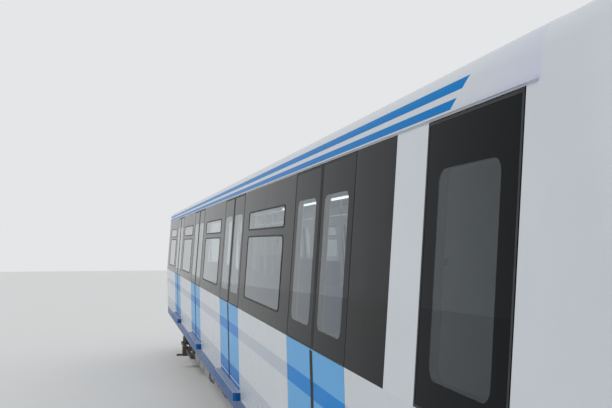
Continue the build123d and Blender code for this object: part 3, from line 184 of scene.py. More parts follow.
# %% Rays on the skin
skin_nodes = [
    "side_walls", "window_bands", "window_glass", "door_leaves", "door_glass", "roof", "cab_shell", "cab_mask",
    "windscreen", "end_wall", "cab_door_left", "cab_door_right", "cab_door_glass_left", "cab_door_glass_right",
]


def tree_of(*nodes):
    """A search tree over the meshes of some CAD nodes."""
    shape = bmesh.new()
    for node in nodes:
        shape.from_mesh(frame["nodes"][node].data)
    tree = BVHTree.FromBMesh(shape)
    shape.free()
    return tree


skin = tree_of(*skin_nodes)
far = 6.0
ahead = 14.0


def touch(start, direction, tree=skin):
    """Where a ray first meets the skin, and which way the surface faces there."""
    place, normal = tree.ray_cast(Vector(start), Vector(direction))[:2]
    return place, normal if normal.dot(Vector(direction)) < 0 else -normal


def on_face(place, normal, across):
    """A matrix that lays a flat piece on a surface: its X runs along across, its Z stands out."""
    out = Vector(normal).normalized()
    up = out.cross(Vector(across)).normalized()
    return Matrix.Translation(place) @ Matrix((up.cross(out), up, out)).transposed().to_4x4()


def on_wall(x, z, side, lift=0.0):
    """A matrix on the outside of the car's side wall."""
    place, normal = touch((x, side * far, z), (0, -side, 0))
    return on_face(place + normal * lift, normal, (-side, 0, 0))


def pointing(place, direction):
    """A matrix at a place whose Z points along a direction."""
    return Matrix.Translation(place) @ Vector(direction).to_track_quat("Z", "Y").to_matrix().to_4x4()


print("wall at the first window:", [round(c, 4) for c in on_wall(window_centres[0], 2.4, -1).translation])

# %% [markdown]
# ## A small kit for finishes
# Each finish is a Principled shader with a few nodes in front of it. Every pattern reads Object coordinates,
# which are metres here, so grain, dust and stripes have their true size and stay put when the camera moves.
# Numbers that are the same all over go straight on the shader.

# %% Colours
finishes = {}


def colour(red, green, blue):
    """A colour given as 0 to 255 on a screen, as the linear colour that a shader takes."""
    parts = [c / 255 for c in (red, green, blue)]
    return (*[c / 12.92 if c <= 0.04045 else ((c + 0.055) / 1.055) ** 2.4 for c in parts], 1)


print("mid grey is", round(colour(128, 128, 128)[0], 3), "to a shader")

# %% A finish, its patterns and its sums
class Nodes:
    """One material. Most methods add a node for a pattern or a sum and return its output."""

    def __init__(self, name, **sockets):
        self.material = bpy.data.materials.new(name)
        self.material.use_nodes = True
        self.nodes = self.material.node_tree.nodes
        self.links = self.material.node_tree.links
        self.shader = self.nodes["Principled BSDF"]
        for socket, value in sockets.items():
            self.shader.inputs[socket.replace("_", " ")].default_value = value
        self.here = self.nodes.new("ShaderNodeTexCoord").outputs["Object"]
        finishes[name] = self.material

    def put(self, socket, value):
        """Links an output to a socket, or writes a plain value there."""
        if isinstance(value, bpy.types.NodeSocket):
            self.links.new(value, socket)
        else:
            socket.default_value = value

    def moved(self, location=(0, 0, 0), rotation=(0, 0, 0), scale=(1, 1, 1)):
        node = self.nodes.new("ShaderNodeMapping")
        self.links.new(self.here, node.inputs["Vector"])
        node.inputs["Location"].default_value = location
        node.inputs["Rotation"].default_value = rotation
        node.inputs["Scale"].default_value = scale
        return node.outputs[0]

    def axis(self, letter, vector=None):
        node = self.nodes.new("ShaderNodeSeparateXYZ")
        self.links.new(vector or self.here, node.inputs[0])
        return node.outputs[letter]

    def noise(self, scale, detail=4.0, vector=None):
        node = self.nodes.new("ShaderNodeTexNoise")
        self.links.new(vector or self.here, node.inputs["Vector"])
        node.inputs["Scale"].default_value = scale
        node.inputs["Detail"].default_value = detail
        return node.outputs["Fac"]

    def cells(self, scale, vector=None):
        node = self.nodes.new("ShaderNodeTexVoronoi")
        self.links.new(vector or self.here, node.inputs["Vector"])
        node.inputs["Scale"].default_value = scale
        return node.outputs["Distance"]

    def waves(self, scale, direction, vector=None):
        node = self.nodes.new("ShaderNodeTexWave")
        node.bands_direction = direction
        self.links.new(vector or self.here, node.inputs["Vector"])
        node.inputs["Scale"].default_value = scale
        return node.outputs["Fac"]

    def calc(self, operation, a, b=0.0):
        node = self.nodes.new("ShaderNodeMath")
        node.operation = operation
        self.put(node.inputs[0], a)
        self.put(node.inputs[1], b)
        return node.outputs[0]

    def span(self, value, low, high, to_low=0.0, to_high=1.0):
        """Stretches low..high to to_low..to_high, and holds it there."""
        node = self.nodes.new("ShaderNodeMapRange")
        for index, number in enumerate((low, high, to_low, to_high), start=1):
            node.inputs[index].default_value = number
        self.links.new(value, node.inputs[0])
        return node.outputs[0]

    def mix(self, share, a, b):
        node = self.nodes.new("ShaderNodeMix")
        node.data_type = "RGBA"
        self.put(node.inputs[0], share)
        self.put(node.inputs[6], a)
        self.put(node.inputs[7], b)
        return node.outputs[2]


print("patterns and sums ready")

# %% What a finish sets on its shader
class Finish(Nodes):
    """A material with the steps that most finishes share. Bumps stack: each one takes in those before it."""

    def patches(self, scale, low, high, to_low=0.0, to_high=1.0, detail=4.0):
        """Noise, stretched so that its soft patches fill a range."""
        return self.span(self.noise(scale, detail), low, high, to_low, to_high)

    def stripe(self, value, low, high):
        """1 between two heights and 0 elsewhere."""
        above = self.calc("GREATER_THAN", value, low)
        return self.calc("MULTIPLY", above, self.calc("LESS_THAN", value, high))

    def bump(self, height, distance, strength=1.0):
        node = self.nodes.new("ShaderNodeBump")
        node.inputs["Strength"].default_value = strength
        node.inputs["Distance"].default_value = distance
        self.links.new(height, node.inputs["Height"])
        if self.shader.inputs["Normal"].is_linked:
            self.links.new(self.shader.inputs["Normal"].links[0].from_socket, node.inputs["Normal"])
        self.links.new(node.outputs[0], self.shader.inputs["Normal"])

    def paint(self, base):
        self.put(self.shader.inputs["Base Color"], base)

    def rough(self, value):
        self.put(self.shader.inputs["Roughness"], value)

    def dull(self, scale, smooth, matt, detail=4.0):
        """Roughness that wanders between two values."""
        self.rough(self.patches(scale, 0.3, 0.7, smooth, matt, detail))

    def grain(self, scale, depth, detail=2.0):
        """Relief that plain noise gives."""
        self.bump(self.noise(scale, detail), depth)


print("finish kit ready")

# %% [markdown]
# ## The livery
# The body is silvery white over a blue sill, with a pale band along its foot and another at the waist. On the
# doors the same bands turn blue, on light blue leaves. Each colour break is a height, so the livery is a stack
# of stripes along Z. Dust gathers low down, in streaks that noise stretches along X.

# %% Livery colours and stripes
wall_thickness = 0.060
leaf_thickness = 0.042
white = colour(212, 217, 222)
band_grey = colour(188, 196, 206)
sill_blue = colour(0, 80, 142)
strong_blue = colour(0, 122, 202)
waist_blue = colour(0, 134, 214)
leaf_blue = colour(104, 176, 230)
roof_line_blue = colour(0, 124, 198)
lilac = colour(206, 208, 228)
dust = colour(120, 116, 110)
gloss_black = colour(14, 16, 19)
skirt_grey = colour(62, 66, 72)
crown_grey = colour(176, 180, 184)
lining_white = colour(214, 217, 220)

sill_stripe_top = floor_top - 0.077
foot_band_top = floor_top + 0.19
foot_line = (floor_top + 0.042, floor_top + 0.056)
waist_band = (floor_top + 0.52, floor_top + 0.63)
roof_lines = ((cantrail_z + 0.017, cantrail_z + 0.057), (cantrail_z + 0.085, cantrail_z + 0.125))
roof_crown = (cantrail_z + 0.2, cantrail_z + 0.24)
skin_slack = 0.003
print("sill stripe to", round(sill_stripe_top, 3), "waist band", [round(z, 3) for z in waist_band])

# %% [markdown]
# ### Paint outside, lining inside
# A wall of the car is one solid, with paint on its outside and a white lining towards the saloon. A shader knows
# only where a point lies, so it gets the outer face as a line over the height. How far a point lies behind that
# line tells which of the two it is.

# %% Outer face and lining
def wall_line(low, high):
    """The side wall's outer face between two heights: its y at height 0 and its slope."""
    foot, head = [abs(on_wall(window_centres[1], z, -1).translation.y) for z in (low, high)]
    slope = (head - foot) / (high - low)
    return foot - slope * low, slope


wall_lines = [wall_line(sill_z + 0.1, belt_z - 0.1), wall_line(belt_z + 0.1, cantrail_z - 0.1)]


def inner_face(finish, thickness):
    """1 on the saloon's side of the body's walls, by how far a point lies behind their outer face."""
    x, z = finish.axis("X"), finish.axis("Z")
    outer = [finish.calc("ADD", finish.calc("MULTIPLY", z, slope), foot) for foot, slope in wall_lines]
    depth = finish.calc("SUBTRACT", finish.calc("MINIMUM", *outer), finish.calc("ABSOLUTE", finish.axis("Y")))
    behind = finish.calc("GREATER_THAN", depth, thickness - skin_slack)
    return finish.calc("MULTIPLY", behind, finish.stripe(x, rear_x + wall_thickness - skin_slack, joint_x + 0.01))


print("outer face, foot and slope:", [[round(c, 3) for c in line] for line in wall_lines])

# %% [markdown]
# ### Lacquer
# Vehicle paint is glossy but never even: it has faint clouds, long soft ripples from the panels below, and dust
# near the rail. All three come from noise, the dust's streaks stretched along the car, and they stay weak.

# %% Walls and doors
def lacquered(finish, base, dusty_top, dusty_foot):
    """Gloss paint: cloudy colour, soft long ripples and dust that thickens towards the foot."""
    height = finish.axis("Z")
    streaks = finish.noise(1.0, 2.0, finish.moved(scale=(0.3, 1, 1.2)))
    low = finish.span(height, dusty_top, dusty_foot, 0.0, 0.22)
    dirt = finish.calc("MULTIPLY", low, finish.span(streaks, 0.3, 0.8))
    cloudy = finish.mix(finish.patches(3.0, 0.3, 0.7, 0.0, 0.05), base, dust)
    finish.paint(finish.mix(dirt, cloudy, dust))
    finish.rough(finish.calc("ADD", finish.patches(6.0, 0.3, 0.7, 0.2, 0.27, 2.0), dirt))
    finish.grain(1.7, 0.0012)


def pale_bands(finish, z):
    """White, with one pale band along the foot and another at the waist."""
    base = finish.mix(finish.stripe(z, sill_stripe_top, foot_band_top), white, band_grey)
    return finish.mix(finish.stripe(z, *waist_band), base, band_grey)


def body_white():
    finish = Finish("body_white", Specular_IOR_Level=0.1)
    z = finish.axis("Z")
    base = finish.mix(finish.stripe(z, sill_z - 0.001, sill_stripe_top), pale_bands(finish, z), sill_blue)
    base = finish.mix(finish.calc("LESS_THAN", z, sill_z - 0.001), base, skirt_grey)
    base = finish.mix(inner_face(finish, wall_thickness), base, lining_white)
    lacquered(finish, base, floor_top + 0.3, sill_z - 0.2)


def door_blue():
    """Leaves below the belt are light blue; above it their frames are black behind the flush glass."""
    finish = Finish("door_blue", Specular_IOR_Level=0.03)
    z = finish.axis("Z")
    base = finish.mix(finish.stripe(z, 0, foot_band_top), leaf_blue, strong_blue)
    base = finish.mix(finish.stripe(z, *foot_line), base, white)
    base = finish.mix(finish.stripe(z, *waist_band), base, waist_blue)
    base = finish.mix(finish.calc("GREATER_THAN", z, belt_z), base, gloss_black)
    base = finish.mix(inner_face(finish, leaf_thickness), base, lining_white)
    lacquered(finish, base, floor_top + 0.3, floor_top - 0.3)


body_white()
door_blue()
print("walls and doors painted, dust from", round(floor_top + 0.3, 3), "m down")

# %% Roof and black band
def roof_grey():
    """Two blue lines run along the white cantrail and end in a slant before the cab, where it turns lilac."""
    finish = Finish("roof_grey", Specular_IOR_Level=0.03)
    z = finish.axis("Z")
    lean = 1.5
    slant = finish.calc("ADD", finish.axis("X"), finish.calc("MULTIPLY", z, -lean))
    end = joint_x - 0.57 - lean * (cantrail_z + 0.07)
    along = finish.calc("LESS_THAN", slant, end)
    lines = finish.calc("ADD", *[finish.stripe(z, *line) for line in roof_lines])
    crown = finish.span(z, *roof_crown)
    cantrail = finish.mix(finish.span(slant, end, end + 0.9), white, lilac)
    outside = finish.calc("SUBTRACT", 1.0, inner_face(finish, wall_thickness))
    painted = finish.calc("MULTIPLY", finish.calc("MULTIPLY", lines, along), outside)
    base = finish.mix(crown, finish.mix(painted, cantrail, roof_line_blue), crown_grey)
    stains = finish.span(finish.noise(1.0, 7.0, finish.moved(scale=(0.6, 5, 5))), 0.45, 0.7)
    stained = finish.calc("MULTIPLY", finish.calc("MULTIPLY", crown, stains), 0.22)
    finish.paint(finish.mix(stained, base, dust))
    finish.rough(finish.span(crown, 0, 1, 0.25, 0.55))
    finish.grain(1.7, 0.001)


def band_black():
    finish = Finish("band_black", Specular_IOR_Level=0.05)
    black = finish.mix(finish.patches(2.5, 0.4, 0.8, 0.0, 0.06, 6.0), gloss_black, dust)
    finish.paint(finish.mix(inner_face(finish, wall_thickness), black, lining_white))
    finish.dull(18.0, 0.1, 0.18)
    finish.grain(1.4, 0.001, 1.0)


roof_grey()
band_black()
print("livery:", sorted(finishes))

# %% [markdown]
# ## Glass and lamps
# Real panes are thin slabs, and the CAD has them as such, so a refracting shader works as it is. The tint is
# taken twice, once at each face, which is why it looks lighter here than through the pane. The saloon's lights
# glow: they are the only light inside, since a sun doesn't shine through refracting glass.

# %% Tinted and clear glass
window_tint = (0.40, 0.47, 0.50, 1)
cab_window_tint = (0.22, 0.25, 0.27, 1)
windscreen_tint = (0.72, 0.78, 0.80, 1)
sun_coating = (0.72, 0.90, 1.0, 1)


def smeared(finish, smears):
    """What all glass has: faint smears and a slow wave in the pane."""
    finish.rough(finish.patches(5.0, 0.45, 0.8, 0.0, smears, 6.0))
    finish.grain(1.2, 0.0003, 1.0)


def glass(name, tint, smears, coating=(1, 1, 1, 1)):
    finish = Finish(name, Transmission_Weight=1.0, IOR=1.33, Specular_Tint=coating)
    finish.paint(tint)
    smeared(finish, smears)


glass("tinted_glass", window_tint, 0.05, sun_coating)
glass("clear_glass", windscreen_tint, 0.03)
print("window tint", window_tint[:3])

# %% [markdown]
# ### Printed door glass
# On the doors the glass lies flush over the whole leaf, and a black border printed on it frames an opening with
# round corners. The shader measures how far a point lies from the middle of its leaf, and is glass only inside
# the opening. The leaves repeat along the car, so that distance goes up and down like a ping-pong ball.

# %% Printed door glass
opening_half_width = 0.247
opening_corner = 0.057
opening_z = (floor_top + 0.953, floor_top + 1.767)
leaf_middle = 0.349
cab_door_middle = 7.421


def flush_glass(name, tint, shine, from_middle):
    """Glass over a whole door leaf, printed black all round its round-cornered opening."""
    finish = Finish(name, IOR=1.33, Specular_Tint=sun_coating)
    from_axis = finish.calc("ABSOLUTE", finish.calc("SUBTRACT", finish.axis("Z"), sum(opening_z) / 2))
    half_height = (opening_z[1] - opening_z[0]) / 2
    squares = []
    for distance, half in ((from_middle(finish), opening_half_width), (from_axis, half_height)):
        past_corner = finish.calc("SUBTRACT", distance, half - opening_corner)
        squares.append(finish.calc("POWER", finish.calc("MAXIMUM", past_corner, 0.0), 2.0))
    clear = finish.calc("LESS_THAN", finish.calc("ADD", *squares), opening_corner**2)
    finish.put(finish.shader.inputs["Transmission Weight"], clear)
    finish.put(finish.shader.inputs["Specular IOR Level"], finish.span(clear, 0, 1, 0.08, shine))
    finish.paint(finish.mix(clear, gloss_black, tint))
    smeared(finish, 0.05)


def from_leaf_middle(finish):
    """How far along the car a point lies from the middle of the nearest leaf."""
    from_door = finish.calc("PINGPONG", finish.calc("SUBTRACT", finish.axis("X"), door_centres[0]), door_pitch / 2)
    return finish.calc("ABSOLUTE", finish.calc("SUBTRACT", from_door, leaf_middle))


def from_cab_door_middle(finish):
    return finish.calc("ABSOLUTE", finish.calc("SUBTRACT", finish.axis("X"), cab_door_middle))


flush_glass("door_glass", window_tint, 0.5, from_leaf_middle)
flush_glass("cab_door_glass", cab_window_tint, 0.2, from_cab_door_middle)
print("door openings", 2 * opening_half_width, "m wide")

# %% Lenses, reflectors and light panels
def lamp_glass():
    """A clear lens with upright flutes on its inside."""
    finish = Finish("lamp_glass", Transmission_Weight=1.0, IOR=1.45)
    finish.paint((0.92, 0.94, 0.95, 1))
    finish.rough(finish.patches(9.0, 0.4, 0.8, 0.0, 0.04))
    finish.bump(finish.waves(14.0, "Y"), 0.0008)


def lamp_metal():
    finish = Finish("lamp_metal", Metallic=1.0)
    finish.paint(finish.mix(finish.patches(30.0, 0.4, 0.7, 0, 0.2), (0.8, 0.8, 0.81, 1), dust))
    finish.dull(60.0, 0.08, 0.2)
    finish.grain(200.0, 0.0001)


def light_panel():
    """An opal cover over a strip light, a little dimmer over each joint between tubes."""
    finish = Finish("light_panel", Emission_Strength=3.2)
    joints = finish.span(finish.waves(0.262, "X"), 0.0, 0.04)
    glow = finish.mix(joints, (0.5, 0.52, 0.55, 1), (0.93, 0.97, 1.0, 1))
    finish.paint((0.9, 0.92, 0.92, 1))
    finish.put(finish.shader.inputs["Emission Color"], glow)
    finish.dull(80.0, 0.35, 0.5)


for make in (lamp_glass, lamp_metal, light_panel):
    make()
print("glass and lamps done")

# %% [markdown]
# ## Metals, rubber and mouldings
# Underneath, nothing is clean. Brake dust is a warm brown that lies on whatever faces up or catches the wind,
# so noise at two sizes drives it. Tread steel is bright only where the rail polishes it, and that is a matter
# of radius: the distance from the axle, worked out in the shader, decides between bright and rusty.

# %% Painted and cast metal
brake_dust = colour(96, 74, 58)
bare_steel = colour(176, 176, 174)
polished_radius = (0.418, 0.424)


def dusty_metal(name, base, amount, grain, roughness=0.55, **sockets):
    """Painted or cast metal with brake dust in soft patches over a fine grain."""
    finish = Finish(name, **sockets)
    patches = finish.patches(4.0, 0.38, 0.72, 0.0, amount, 8.0)
    specks = finish.patches(55.0, 0.5, 0.75, 0.0, 0.25, 3.0)
    finish.paint(finish.mix(finish.calc("MAXIMUM", patches, specks), base, brake_dust))
    finish.rough(finish.calc("ADD", finish.span(patches, 0, 1, 0, 0.3), roughness))
    finish.grain(260.0, grain)
    finish.grain(9.0, grain * 4, 3.0)


dusty_metal("underframe_grey", colour(78, 82, 86), 0.5, 0.0002)
dusty_metal("case_grey", colour(122, 127, 132), 0.3, 0.0001, 0.4, Coat_Weight=0.15)
dusty_metal("bogie_grey", colour(92, 95, 99), 0.55, 0.0002)
dusty_metal("casting_grey", colour(74, 75, 76), 0.6, 0.0005, Metallic=0.3)
dusty_metal("coupler_steel", colour(88, 86, 84), 0.45, 0.0005, 0.42, Metallic=0.55)
print("painted metal done")

# %% Bare steel and alloy
def rail_steel():
    """Brushed round the pole, so the lines run across it."""
    finish = Finish("rail_steel", Metallic=1.0)
    lines = finish.noise(1.0, 4.0, finish.moved(scale=(30, 30, 900)))
    finish.paint(finish.mix(lines, (0.56, 0.57, 0.58, 1), (0.72, 0.73, 0.74, 1)))
    finish.rough(finish.span(lines, 0.3, 0.7, 0.2, 0.34))
    finish.bump(lines, 0.00005)


def step_alloy():
    """Ribbed alloy on top, and blue paint on the ledge's front and ends."""
    finish = Finish("step_alloy", Specular_IOR_Level=0.2)
    top = finish.calc("GREATER_THAN", finish.axis("Z"), ledge_high.z - 0.001)
    worn = finish.mix(finish.patches(30.0, 0.35, 0.7), colour(206, 209, 212), colour(178, 180, 182))
    finish.paint(finish.mix(top, sill_blue, worn))
    finish.dull(24.0, 0.3, 0.5)
    finish.bump(finish.waves(26.0, "Y"), 0.0008, 0.25)


def wheel_steel(name, centre):
    """Bright where the rail polishes it, brown with dust on the web and the axle."""
    finish = Finish(name, Metallic=0.9)
    there = finish.moved(location=(-centre.x, 0, -centre.z))
    squares = [finish.calc("POWER", finish.axis(letter, there), 2.0) for letter in "XZ"]
    radius = finish.calc("SQRT", finish.calc("ADD", *squares))
    bright = finish.span(radius, *polished_radius)
    dull = finish.mix(finish.patches(9.0, 0.35, 0.7, detail=8.0), colour(86, 80, 74), brake_dust)
    finish.paint(finish.mix(bright, dull, bare_steel))
    finish.rough(finish.span(bright, 0, 1, 0.62, 0.26))
    finish.grain(180.0, 0.0003)


rail_steel()
step_alloy()
for name, centre in axles.items():
    wheel_steel(name, centre)
print("metals done:", len(finishes), "finishes so far")

# %% Rubber, mouldings, floor and cloth
def plain(name, base, other, roughness, patch, grain_scale, grain, **sockets):
    """A moulded or sprayed surface: two close colours in patches and a fine even grain."""
    finish = Finish(name, **sockets)
    finish.paint(finish.mix(finish.patches(patch, 0.35, 0.7, detail=6.0), base, other))
    finish.dull(patch * 3, roughness, roughness + 0.12)
    finish.grain(grain_scale, grain)


plain("rubber_black", colour(30, 31, 33), colour(46, 47, 49), 0.6, 6.0, 500.0, 0.0002)
plain("interior_white", colour(222, 224, 226), colour(212, 214, 217), 0.35, 2.0, 400.0, 0.0001, Coat_Weight=0.1)
plain("seat_blue", colour(34, 92, 164), colour(44, 104, 174), 0.3, 3.0, 700.0, 0.00015, Coat_Weight=0.2)
plain("desk_grey", colour(70, 73, 77), colour(60, 63, 66), 0.5, 5.0, 900.0, 0.0004)


def floor_grey():
    """Sheet flooring: fine light and dark chips in grey."""
    finish = Finish("floor_grey")
    chips = finish.patches(420.0, 0.55, 0.62, detail=1.0)
    dark = finish.span(finish.noise(380.0, 1.0, finish.moved(location=(3, 5, 7))), 0.57, 0.63)
    base = finish.mix(chips, colour(112, 118, 126), colour(166, 170, 176))
    finish.paint(finish.mix(dark, base, colour(66, 70, 78)))
    finish.dull(3.0, 0.4, 0.6, 6.0)
    finish.grain(300.0, 0.0001)


def seat_cloth():
    """A close woven cloth: two sets of threads at right angles."""
    finish = Finish("seat_cloth", Sheen_Weight=0.35, Sheen_Roughness=0.5)
    threads = finish.calc("MULTIPLY", finish.waves(160.0, "X"), finish.waves(160.0, "Z"))
    tufts = finish.mix(finish.patches(90.0, 0.4, 0.65, detail=2.0), colour(56, 62, 74), colour(78, 86, 104))
    finish.paint(finish.mix(threads, tufts, colour(34, 38, 46)))
    finish.rough(finish.span(threads, 0, 1, 0.75, 0.95))
    finish.bump(threads, 0.0006)


floor_grey()
seat_cloth()
print("finishes by now:", len(finishes))

# %% [markdown]
# ## Dressing the frame
# The record names a material slot for each node, and most nodes take the finish of that name. A few differ:
# each wheelset needs its own centre, the door glass its printed border, and the cab doors black upper halves.

# %% Give every CAD node its finish
own_finish = {name: name for name in (*axles, "door_glass")}
for side_name in sides:
    own_finish[f"cab_door_{side_name}"] = "cab_door"
    own_finish[f"cab_door_glass_{side_name}"] = "cab_door_glass"


def cab_door():
    """White like the body below the belt, black behind the glass above it."""
    finish = Finish("cab_door", Specular_IOR_Level=0.15)
    z = finish.axis("Z")
    base = finish.mix(finish.calc("GREATER_THAN", z, belt_z), pale_bands(finish, z), gloss_black)
    lacquered(finish, base, floor_top + 0.3, floor_top - 0.3)


cab_door()
for row in frame["record"]["subparts"]:
    node = frame["nodes"][row["node"]]
    dress = finishes[own_finish.get(row["node"], row["material_slot"])]
    if not node.material_slots:
        node.data.materials.append(dress)
    for slot in node.material_slots:
        slot.material = dress

# %% [markdown]
# ## A small kit for pieces
# All new pieces are meshes made with bmesh operators.

# %% From a bmesh to a piece
sharp_angle = math.radians(35)


def add_piece(name, shape, finish, body="body"):
    """Makes an object of a bmesh, lets it ride on a body and tells what it became."""
    mesh = bpy.data.meshes.new(name)
    bmesh.ops.recalc_face_normals(shape, faces=shape.faces)
    shape.to_mesh(mesh)
    shape.free()
    mesh.shade_smooth()
    mesh.set_sharp_from_angle(angle=sharp_angle)
    mesh.materials.append(finishes[finish])
    piece = bpy.data.objects.new(name, mesh)
    scene.collection.objects.link(piece)
    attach(piece, body)
    print(name, "has", len(mesh.polygons), "faces")
    return piece


def placed(shape, part, matrix):
    """Moves a small finished bmesh to its place and adds it to a bigger one."""
    bmesh.ops.transform(part, matrix=matrix, verts=part.verts)
    mesh = bpy.data.meshes.new("part")
    part.to_mesh(mesh)
    part.free()
    shape.from_mesh(mesh)
    bpy.data.meshes.remove(mesh)


print("pieces turn sharp at", round(math.degrees(sharp_angle)), "degrees")

# %% Turned and drawn shapes
def turned(shape, profile, place, direction, steps=24):
    """Spins a profile of (distance along, radius) points about a direction."""
    part = bmesh.new()
    points = [part.verts.new((radius, 0, along)) for along, radius in profile]
    line = [part.edges.new(pair) for pair in zip(points, points[1:])]
    bmesh.ops.spin(part, geom=line, cent=(0, 0, 0), axis=(0, 0, 1), angle=math.tau, steps=steps, use_merge=True)
    bmesh.ops.remove_doubles(part, verts=part.verts, dist=1e-6)
    placed(shape, part, pointing(place, direction))


def ring(shape, low, high, inner, outer, place, direction, steps=40):
    """A flat ring: a rectangle spun about a direction."""
    corners = [(low, inner), (low, outer), (high, outer), (high, inner), (low, inner)]
    turned(shape, corners, place, direction, steps)


def drawn(shape, outline, vector):
    """A closed outline of points, extruded along a vector."""
    face = shape.faces.new([shape.verts.new(point) for point in outline])
    made = bmesh.ops.extrude_face_region(shape, geom=[face])
    verts = [v for v in made["geom"] if isinstance(v, bmesh.types.BMVert)]
    bmesh.ops.translate(shape, verts=verts, vec=vector)


print("turned, ring and drawn are ready")

# %% [markdown]
# ### Plates
# Lids, frames and covers are sheet or cast plates with rounded corners. A grid of one face has four corners to
# bevel, an inset leaves a frame of it, and an extrusion gives it its thickness. A small crown catches the light.

# %% Plates and frames
def plate(shape, width, height, radius, thickness, matrix, rim=0.0, crown=0.0):
    """A round-cornered plate or, with a rim, a frame. A crown bevels its upper edges."""
    part = bmesh.new()
    corners = bmesh.ops.create_grid(part, x_segments=1, y_segments=1, size=0.5)["verts"]
    bmesh.ops.scale(part, verts=corners, vec=(width, height, 1))
    bmesh.ops.bevel(part, geom=corners, offset=radius, affect="VERTICES", segments=5, profile=0.5, material=-1)
    faces = list(part.faces)
    if rim:
        frame_faces = bmesh.ops.inset_region(part, faces=faces, thickness=rim, use_boundary=True)["faces"]
        bmesh.ops.delete(part, geom=faces, context="FACES_ONLY")
        faces = frame_faces
    raised = bmesh.ops.extrude_face_region(part, geom=faces)["geom"]
    top = {f for f in raised if isinstance(f, bmesh.types.BMFace)}
    verts = [v for v in raised if isinstance(v, bmesh.types.BMVert)]
    bmesh.ops.translate(part, verts=verts, vec=(0, 0, thickness))
    if crown:
        edges = [e for e in part.edges if len(top & set(e.link_faces)) == 1]
        bmesh.ops.bevel(part, geom=edges, offset=crown, affect="EDGES", segments=2, profile=0.5, material=-1)
    placed(shape, part, matrix)


print("plate is ready")

# %% Bolts
def bolt(shape, place, direction, size):
    """A hexagon head on a washer."""
    out = Vector(direction).normalized()
    place = Vector(place)
    washer = pointing(place + out * size * 0.1, out)
    head = pointing(place + out * size * 0.5, out)
    for matrix, segments, wide, tall in ((washer, 12, 1.25, 0.2), (head, 6, 0.95, 0.65)):
        bmesh.ops.create_cone(
            shape, cap_ends=True, segments=segments, radius1=size * wide, radius2=size * wide * 0.94,
            depth=size * tall, matrix=matrix,
        )


def bolt_circle(shape, centre, direction, radius, count, size):
    """Bolts evenly spaced on a circle."""
    turn = pointing(centre, direction)
    for i in range(count):
        angle = math.tau * i / count
        bolt(shape, turn @ Vector((radius * math.cos(angle), radius * math.sin(angle), 0)), direction, size)


print("bolt and bolt_circle are ready")

# %% [markdown]
# ### Rods
# Rails, handles and levers are bent from rod. A NURBS curve with a round bevel bends as smoothly as a real one and
# needs only a few points. It is turned into a mesh at once, so that the piece has no curve data.

# %% Bent rods
def bent_rod(shape, points, radius):
    """A round rod along a smooth curve through a few points, added to a bmesh."""
    data = bpy.data.curves.new("rod", "CURVE")
    data.dimensions = "3D"
    data.bevel_depth = radius
    data.bevel_resolution = 2
    data.use_fill_caps = True
    spline = data.splines.new("NURBS")
    spline.points.add(len(points) - 1)
    for point, place in zip(spline.points, points):
        point.co = (*place, 1)
    spline.order_u = 3
    spline.use_endpoint_u = True
    spline.resolution_u = 4
    rod = bpy.data.objects.new("rod", data)
    mesh = bpy.data.meshes.new_from_object(rod)
    shape.from_mesh(mesh)
    bpy.data.objects.remove(rod)
    bpy.data.curves.remove(data)
    bpy.data.meshes.remove(mesh)


print("bent_rod is ready")

# %% [markdown]
# ## Gaskets and glass edges
# Each pane sits in a rubber gasket. Its outline is already in the CAD: the pane's own outer face. So a copy of
# the pane is merged, everything but that outer face is deleted, and an inset turns it into a ring, which then
# gets a thickness outwards. One function does side windows, doors, windscreen and lamps.

# %% Rings round the glass
def ring_on(name, node, out, width, height, body="body"):
    """A raised rubber ring just inside the edge of each face of a node that looks along out."""
    shape = bmesh.new()
    shape.from_mesh(frame["nodes"][node].data)
    bmesh.ops.remove_doubles(shape, verts=shape.verts, dist=1e-5)
    looks = [Vector(direction) for direction in out]
    other = [f for f in shape.faces if all(f.normal.dot(look) < 0.45 for look in looks)]
    bmesh.ops.delete(shape, geom=other, context="FACES")
    inner = list(shape.faces)
    bmesh.ops.inset_region(shape, faces=inner, thickness=width, use_even_offset=True, use_boundary=True)
    bmesh.ops.delete(shape, geom=inner, context="FACES")
    bmesh.ops.solidify(shape, geom=list(shape.faces), thickness=-height)
    add_piece(name, shape, "rubber_black", body)


both_ways = [(0, 1, 0), (0, -1, 0)]
ring_on("window_gaskets", "window_glass", both_ways, 0.014, 0.003)
ring_on("door_glass_edges", "door_glass", both_ways, 0.010, 0.0015)
ring_on("windscreen_gasket", "windscreen", [(1, 0, 0.2)], 0.018, 0.004)
ring_on("lamp_bezels", "lamp_lenses", [(1, 0, 0)], 0.010, 0.004)
for name, side in sides.items():
    pane = f"cab_door_glass_{name}"
    ring_on(f"cab_door_glass_edge_{name}", pane, [(0, side, 0)], 0.012, 0.0015, f"cab_door_{name}")

# %% [markdown]
# ## Along the side
# A gutter keeps rain off the doors. Where two leaves meet, each has a soft rubber edge, and in the photograph
# these edges make the dark line down every door. Both are a small profile drawn along a line: the gutter along
# X, the edge up the wall, once below the belt and once on the glass, because the wall leans in above the belt.

# %% Gutters
def gutters():
    shape = bmesh.new()
    z = cantrail_z + 0.004
    lip = [(0.0, 0.0), (0.011, 0.003), (0.012, 0.011), (0.009, 0.011), (0.008, 0.006), (0.0, 0.006)]
    for side in sides.values():
        wall = on_wall(window_centres[1], z, side).translation
        outline = [(rear_x + 0.01, wall.y + side * (out - 0.001), z + up) for out, up in lip]
        drawn(shape, outline, (joint_x - rear_x - 0.02, 0, 0))
    add_piece("gutters", shape, "roof_grey")


gutters()

